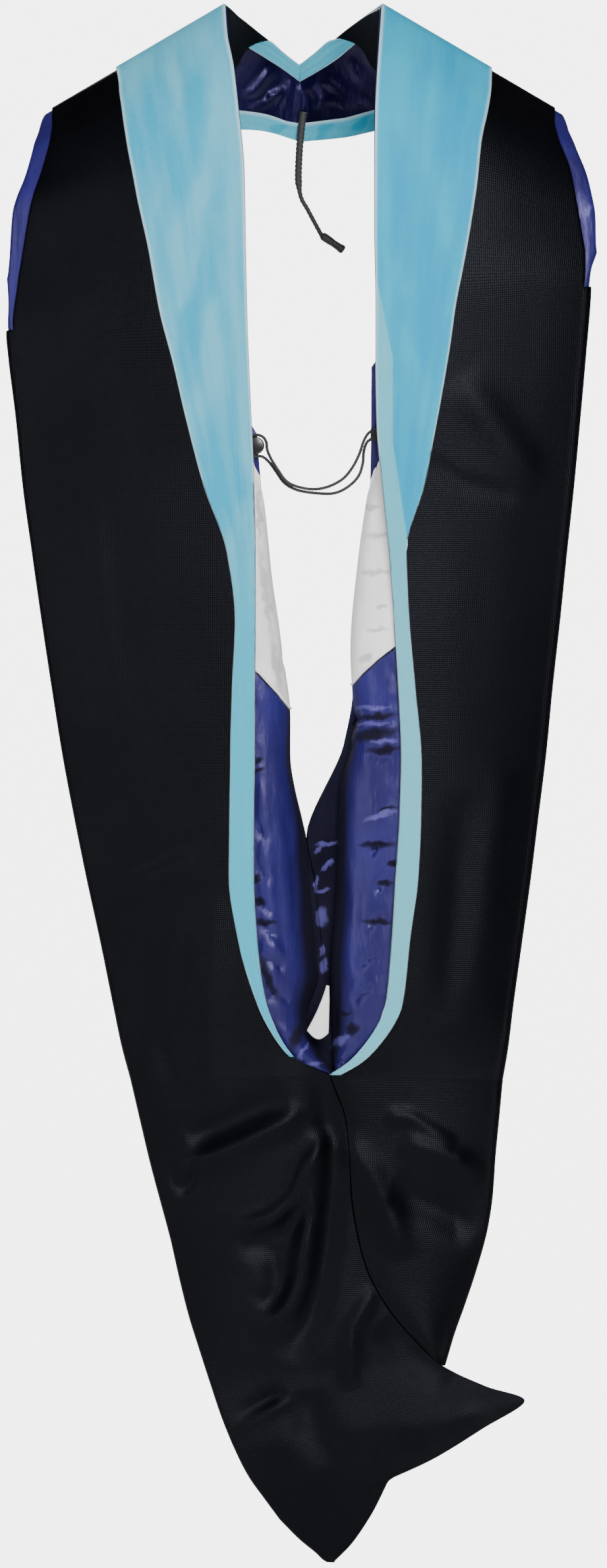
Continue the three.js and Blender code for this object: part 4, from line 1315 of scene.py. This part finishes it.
# %% Linings
SATIN_FOLDS = {
    "left": [
        (4, -1.6, [(-34, -440), (-24, -447), (-14, -452)]),
        (5, 1.8, [(-31, -520), (-26, -560), (-24, -620), (-20, -680)]),
        (4, 1.2, [(-20, -545), (-15, -590), (-12, -640)]),
        (2.2, -2.2, [(-34, -612), (-28, -616), (-22, -624)]),
        (2.2, -2.2, [(-32, -630), (-26, -632), (-20, -640)]),
        (2.5, -2, [(-34, -560), (-29, -566), (-26, -574)]),
        (2.5, -2, [(-34, -590), (-29, -594), (-25, -602)]),
        (2.5, -2, [(-30, -655), (-22, -655), (-14, -662)]),
        (2.5, -2, [(-26, -680), (-18, -678), (-10, -684)]),
        (3, 1.6, [(-30, -644), (-22, -646), (-14, -652)]),
    ],
    "right": [
        (5, 2, [(36, -530), (34, -570), (35, -620), (32, -670)]),
        (3, -2.2, [(63, -488), (52, -492), (40, -488), (30, -496)]),
        (3.5, 2, [(64, -496), (52, -502), (40, -500), (30, -508)]),
        (2.5, -2.2, [(62, -512), (54, -516), (44, -512)]),
        (2.2, -2.4, [(58, -572), (51, -577), (46, -584)]),
        (2.2, -2.4, [(60, -598), (54, -602), (50, -609)]),
        (2.2, -2.4, [(56, -624), (49, -628), (44, -634)]),
        (2.5, -2, [(54, -650), (46, -652), (38, -660)]),
        (2.5, -2, [(50, -675), (42, -676), (34, -684)]),
    ],
}
ROLL_COLUMN = 14
LINING_COLUMNS = stretches((NEAR_COLUMN, 2), (FAR_COLUMN, 2), (ROLL_COLUMN, 5), (LAST_COLUMN, 11))
LININGS = [
    ("lining_upper", RIDGE_ROW, CHEVRON_TOP_ROW, NAVY_SATIN, "navy_satin"),
    ("lining_chevron", CHEVRON_TOP_ROW, CHEVRON_POINT_ROW, WHITE_SATIN, "white_satin"),
    ("lining_lower", CHEVRON_POINT_ROW, MOUTH_END_ROW, NAVY_SATIN, "navy_satin"),
]
PIPING = 1.4 * MM
PIPING_ROW = 0.022
PIPING_SPREAD = 0.016
PIPING_COLUMN = 13
PIPING_ROWS = np.array([0.01, 0.02, 0.03, 0.04, 0.05, 0.06])
lower_linings = []

for side, (sections, sign) in SIDES.items():
    for name, first, last, material, slot in LININGS:
        rows = steps(first, last, 14)
        piped = name == "lining_chevron"
        if piped:
            rows = np.sort(np.concatenate([rows, last - PIPING_ROWS]))
        cloth = Cloth(sections, sign, rows, LINING_COLUMNS, rolled=True, folds=SATIN_FOLDS[side])
        keep = cells(rows, LINING_COLUMNS, lambda r, c: (c < LIP_COLUMN) | (r >= NECK_EDGE_ROW))
        off = (last - rows[:, None] - PIPING_ROW) / PIPING_SPREAD
        pipe = piped * PIPING * np.exp(-(off**2)) * (LINING_COLUMNS > PIPING_COLUMN)
        outer, inner = cloth.offset(LINING[0] - pipe), cloth.offset(LINING[1] - pipe)
        uv = grid_uv(outer)
        if piped:
            uv[..., 1] = uv[..., 1].max() - uv[..., 1]
        made = sheet_of(f"{name}_{side}", outer, inner, material, keep, uv)
        cut = outer
        if first < NECK_EDGE_ROW:
            narrow = outer[:, LINING_COLUMNS <= LIP_COLUMN]
            folded = outer[rows >= NECK_EDGE_ROW]
            cut = max((narrow, folded), key=lambda grid: grid_area(grid).sum())
        area = grid_area(outer)[keep].sum()
        declare(made, f"{name}_{side}", area, cut)
        if name == "lining_lower":
            lower_linings.append(inner[:, LINING_COLUMNS >= ROLL_COLUMN].reshape(-1, 3))

# %% [markdown]
# ## Neck band
#
# The band crosses the throat from ridge to ridge. Its inner face is navy satin, painted darker as shade, with
# a velvet strip along the top, black by the shoulders, and a velvet binding along the bottom.

# %% The band and its binding
BAND_FOLDS = [
    (3.5, 3.4, [(-42, -62), (-34, -58), (-28, -50), (-21, -42)]),
    (3.5, 2.2, [(-38, -70), (-26, -66), (-14, -60)]),
    (2.5, 2, [(-26, -62), (-18, -60), (-14, -55)]),
    (2.5, 1.8, [(-13, -70), (-11, -62), (-9, -50)]),
    (3, 2.6, [(0, -60), (8, -52), (18, -52), (30, -62), (44, -69)]),
    (2.2, 2.2, [(8, -72), (11, -64), (8, -57), (2, -57)]),
    (2.5, 2.2, [(13, -66), (22, -64), (32, -70)]),
    (2.5, 2.2, [(33, -34), (36, -44), (42, -52)]),
    (2.5, 2.2, [(-3, -74), (-3, -64), (-3, -54)]),
]


def band_of(columns, last, per_row, lift=0):
    """Points and normals of the band from last rows left of the throat to last rows right of it."""
    rows = steps(0, last, per_row)
    left = Cloth(LEFT_SECTIONS, -1, rows, columns)
    right = Cloth(RIGHT_SECTIONS, 1, rows, columns)
    points = np.concatenate([left.points[:0:-1], right.points])
    middle = len(rows) - 1
    normals = np.concatenate([left.normals[:0:-1], right.normals])
    normals[middle] = unit(left.normals[0] + right.normals[0])
    points[..., 1] -= lift * np.maximum(relief(points[..., 0], points[..., 2], BAND_FOLDS), -0.2 * MM)
    return np.concatenate([-rows[:0:-1], rows]), points, normals


def band_piece(name, columns, last, layer, material, lift=0):
    rows, points, normals = band_of(columns, last, 12, lift)
    outer, inner = (points + normals * distance for distance in layer)
    made = sheet_of(name, outer, inner, material)
    declare(made, name, grid_area(outer).sum(), outer)


band_piece("neckband_lining", steps(0, 8, 8), RIDGE_ROW, LINING, SHADED_BAND_SATIN, lift=1)
band_piece("neckband_binding", steps(4, 8, 6), 2, BAND, VELVET_BAND)

# %% Strip and corners
STRIP_TOP = [
    (-31.5, -22.5),
    (-25.5, -23),
    (-13.9, -31.9),
    (-2.8, -40.7),
    (8.3, -31.9),
    (19.9, -23),
    (27, -21.5),
]
STRIP_BOTTOM = [
    (-40.8, -27.1),
    (-30.5, -33.5),
    (-16.5, -42.2),
    (-2.6, -52.4),
    (11, -44.5),
    (24.5, -36),
    (37.9, -24.5),
]
STRIP_POINT = 3
CORNER_TOP = {
    "left": [(-53.4, 0.3), (-44, -7.6), (-34, -16.2), (-25.4, -23)],
    "right": [(53.4, 0.3), (44, -5.6), (34, -13.2), (25.4, -20.4)],
}
CORNER_BOTTOM = {
    "left": [(-54, -46), (-48, -41), (-42.5, -31), (-35.5, -25.2)],
    "right": [(54, -46), (48, -40), (43, -30), (36, -23)],
}
band_columns = steps(0, 8, 14)
_, band_points, band_normals = band_of(band_columns, RIDGE_ROW, 24)
band_points, band_normals = band_points.reshape(-1, 3), band_normals.reshape(-1, 3)


def laid_on_band(top, bottom, cells_along, cells_across, corners):
    """Points and normals of a patch of the band between two lines, given in millimetres of X and Z."""
    stations = np.linspace(0, len(top) - 1, cells_along + 1)
    edges = smooth(np.stack([top, bottom], axis=1) * MM, stations, corners)
    share = np.linspace(0, 1, cells_across + 1)[:, None]
    places = edges[:, :1] * (1 - share) + edges[:, 1:] * share
    away = np.hypot(places[..., :1] - band_points[:, 0], places[..., 1:] - band_points[:, 2])
    nearest = away.argmin(axis=-1)
    near, normal = band_points[nearest], band_normals[nearest]
    step_x = (places[..., 0] - near[..., 0]) * normal[..., 0]
    step_z = (places[..., 1] - near[..., 2]) * normal[..., 2]
    y = near[..., 1] - np.clip((step_x + step_z) / normal[..., 1], -1.5 * MM, 1.5 * MM)
    return np.stack([places[..., 0], y, places[..., 1]], axis=-1), normal


def band_patch(name, top, bottom, material, slot, shape, corners=()):
    points, normals = laid_on_band(top, bottom, *shape, corners)
    outer, inner = (points + normals * distance for distance in BAND)
    along = lengths_along(points[:, 0])[:, None].repeat(points.shape[1], axis=1)
    across = np.linspace(0, 1, points.shape[1])[None].repeat(len(points), axis=0) * TRIM_WIDTH
    made = sheet_of(name, outer, inner, material, uv=np.stack([across, along], axis=-1))
    declare(made, name, grid_area(points).sum(), points, tapered=True)


strip = STRIP_TOP, STRIP_BOTTOM
band_patch("neckband_strip", *strip, VELVET_BAND, "blue_velvet", (72, 10), (STRIP_POINT,))
for side in SIDES:
    corner = CORNER_TOP[side], CORNER_BOTTOM[side]
    band_patch(f"neckband_corner_{side}", *corner, BLACK_CLOTH, "black_cloth", (24, 24))

# %% [markdown]
# ## Small pieces
#
# The button and the tab that hold the back cord, and the white tab that lies in the valley between the
# rolls. The button and the tab are turned to the lining's normal. The white tab is laid on the lining
# behind it, as it would fall.

# %% Button and tab


def seat(made, node, sections, sign, row, column):
    """Turns a piece with its face along +Z to the lining's normal, and puts it where the CAD node is."""
    cloth = Cloth(sections, sign, row + np.array([-0.05, 0, 0.05]), column + np.array([-0.05, 0, 0.05]))
    inwards = Vector(-cloth.normals[1, 1])
    made.rotation_mode = "QUATERNION"
    made.rotation_quaternion = Vector((0, 0, 1)).rotation_difference(inwards)
    low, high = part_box(node)
    made.location = (low + high) / 2
    bpy.ops.object.transform_apply(location=True, rotation=True, scale=True)
    made.name = f"{node}_piece"
    made.data.polygons.foreach_set("use_smooth", [True] * len(made.data.polygons))
    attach(made, "root")
    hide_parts(node)


def bevel(made, width, segments):
    modifier = made.modifiers.new("bevel", "BEVEL")
    modifier.width = width
    modifier.segments = segments
    modifier.limit_method = "ANGLE"
    bpy.ops.object.modifier_apply(modifier=modifier.name)


# Rows and columns of the lining at which the CAD model seats the two
BUTTON_SEAT = (10.35, 19.65)
TAB_SEAT = (10.65, 19.4)

bpy.ops.mesh.primitive_cylinder_add(vertices=64, radius=6 * MM, depth=4 * MM)
button = bpy.context.active_object
bevel(button, 1.1 * MM, 4)
button.data.materials.append(BLACK_PLASTIC)
seat(button, "cord_button", LEFT_SECTIONS, -1, *BUTTON_SEAT)

bpy.ops.mesh.primitive_cube_add(size=1, scale=(5 * MM, 9 * MM, 2 * MM))
tab = bpy.context.active_object
bpy.ops.object.transform_apply(location=False, rotation=False, scale=True)
bevel(tab, 0.7 * MM, 3)
tab.data.materials.append(BLACK_CORD)
seat(tab, "cord_tab", RIGHT_SECTIONS, 1, *TAB_SEAT)

# %% White tab
TAB_EDGES = [
    [(15.7, -672), (17.6, -672.5)],
    [(13.5, -679), (17.8, -681)],
    [(9, -690), (17.6, -692)],
    [(4.5, -699), (17.3, -701)],
    [(2.3, -703), (17.1, -705)],
]


def in_front_of(clouds, x, z, reach):
    """The least Y of the points that lie within reach of each place."""
    cloud = np.concatenate(clouds)
    away = np.hypot(x[..., None] - cloud[:, 0], z[..., None] - cloud[:, 2])
    return np.where(away < reach, cloud[:, 1], np.inf).min(axis=-1)


edges = smooth(np.array(TAB_EDGES) * MM, np.linspace(0, 4, 22))
across = np.linspace(0, 1, 12)
tab_x = edges[:, :1, 0] * (1 - across) + edges[:, 1:, 0] * across
tab_z = edges[:, :1, 1] * (1 - across) + edges[:, 1:, 1] * across
tab_z = tab_z - 5 * MM * np.sin(math.pi * across) * np.linspace(0, 1, 22)[:, None] ** 3
tab_y = in_front_of(lower_linings, tab_x, tab_z, 6 * MM)
tab_y = np.where(np.isfinite(tab_y), tab_y, -0.05)
tab_y = np.minimum.accumulate(tab_y[::-1])[::-1].min(axis=1, keepdims=True).repeat(12, axis=1)
tab_y = tab_y - 0.8 * MM - 1.2 * MM * np.sin(math.pi * across) * np.linspace(0.3, 1, 22)[:, None]
tab_points = np.stack([tab_x, tab_y, tab_z], axis=-1)
under = tab_points + np.array([0, TAB_CLOTH, 0])
white_tab = sheet_of("white_tab", tab_points, under, WHITE_SATIN)
declare(white_tab, "white_tab", grid_area(tab_points).sum(), tab_points)

# %% [markdown]
# ## What the cords stand for
#
# Both cords hang limp. The front one ends in its knot, and the back one is held at the button and the tab.

# %% Cords in the frame
for made, node in ((front_cord, "front_cord"), (back_cord, "back_cord"), (cord_tip, "cord_tip")):
    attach(made, "root")
    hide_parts(node)

# %% [markdown]
# ## Floor, backdrop and light
#
# Four glowing walls make the backdrop pale from every side. They don't light the hood and aren't mirrored
# in it. Its light comes from the lamps, with a little from the floor and the room: a large key from above
# on the right, a weak one from the left, one from straight above, and one that shows the front of the hood.

# %% Floor, walls and lamps


def plane(name, size, location, rotation, color, glow=0):
    bpy.ops.mesh.primitive_plane_add(size=size, location=location, rotation=rotation)
    made = bpy.context.active_object
    made.name = name
    finish = Finish(name, color, 0.9, Emission_Color=(1, 1, 1, 1), Emission_Strength=glow)
    made.data.materials.append(finish.material)
    return made


def area_light(name, location, aim, size, power):
    data = bpy.data.lights.new(name, "AREA")
    data.shape = "RECTANGLE"
    data.size, data.size_y = size
    data.energy = power
    made = bpy.data.objects.new(name, data)
    made.location = location
    made.rotation_euler = (Vector(aim) - Vector(location)).to_track_quat("-Z", "Y").to_euler()
    bpy.context.scene.collection.objects.link(made)
    return made


ROOM = 8
FLOOR_HEIGHT = -1.16
PALE = (0.9, 0.9, 0.9)

plane("floor", ROOM, (0, 0, FLOOR_HEIGHT), (0, 0, 0), PALE, glow=0.4)
for quarter in range(4):
    turned = math.pi / 2 * quarter
    at = (-4 * math.sin(turned), 4 * math.cos(turned), 2.8)
    wall = plane(f"backdrop_{quarter}", ROOM, at, (math.pi / 2, 0, turned), PALE, glow=4.5)
    wall.visible_glossy = False
    wall.visible_diffuse = False
area_light("key", (0.5, -2.6, 0.5), (0, 0, -0.5), (1, 1.2), 93)
area_light("side", (-1.6, -1.6, -0.2), (0, 0, -0.5), (0.7, 1.4), 17.5)
area_light("top", (0.1, -0.9, 1.2), (0, 0, -0.4), (0.8, 0.6), 9)
area_light("back", (-0.9, 2.4, 0.5), (0, 0, -0.5), (1, 1.2), 50)

world = bpy.data.worlds.new("room")
world.use_nodes = True
world.node_tree.nodes["Background"].inputs["Color"].default_value = (1, 1, 1, 1)
world.node_tree.nodes["Background"].inputs["Strength"].default_value = 0.12
bpy.context.scene.world = world
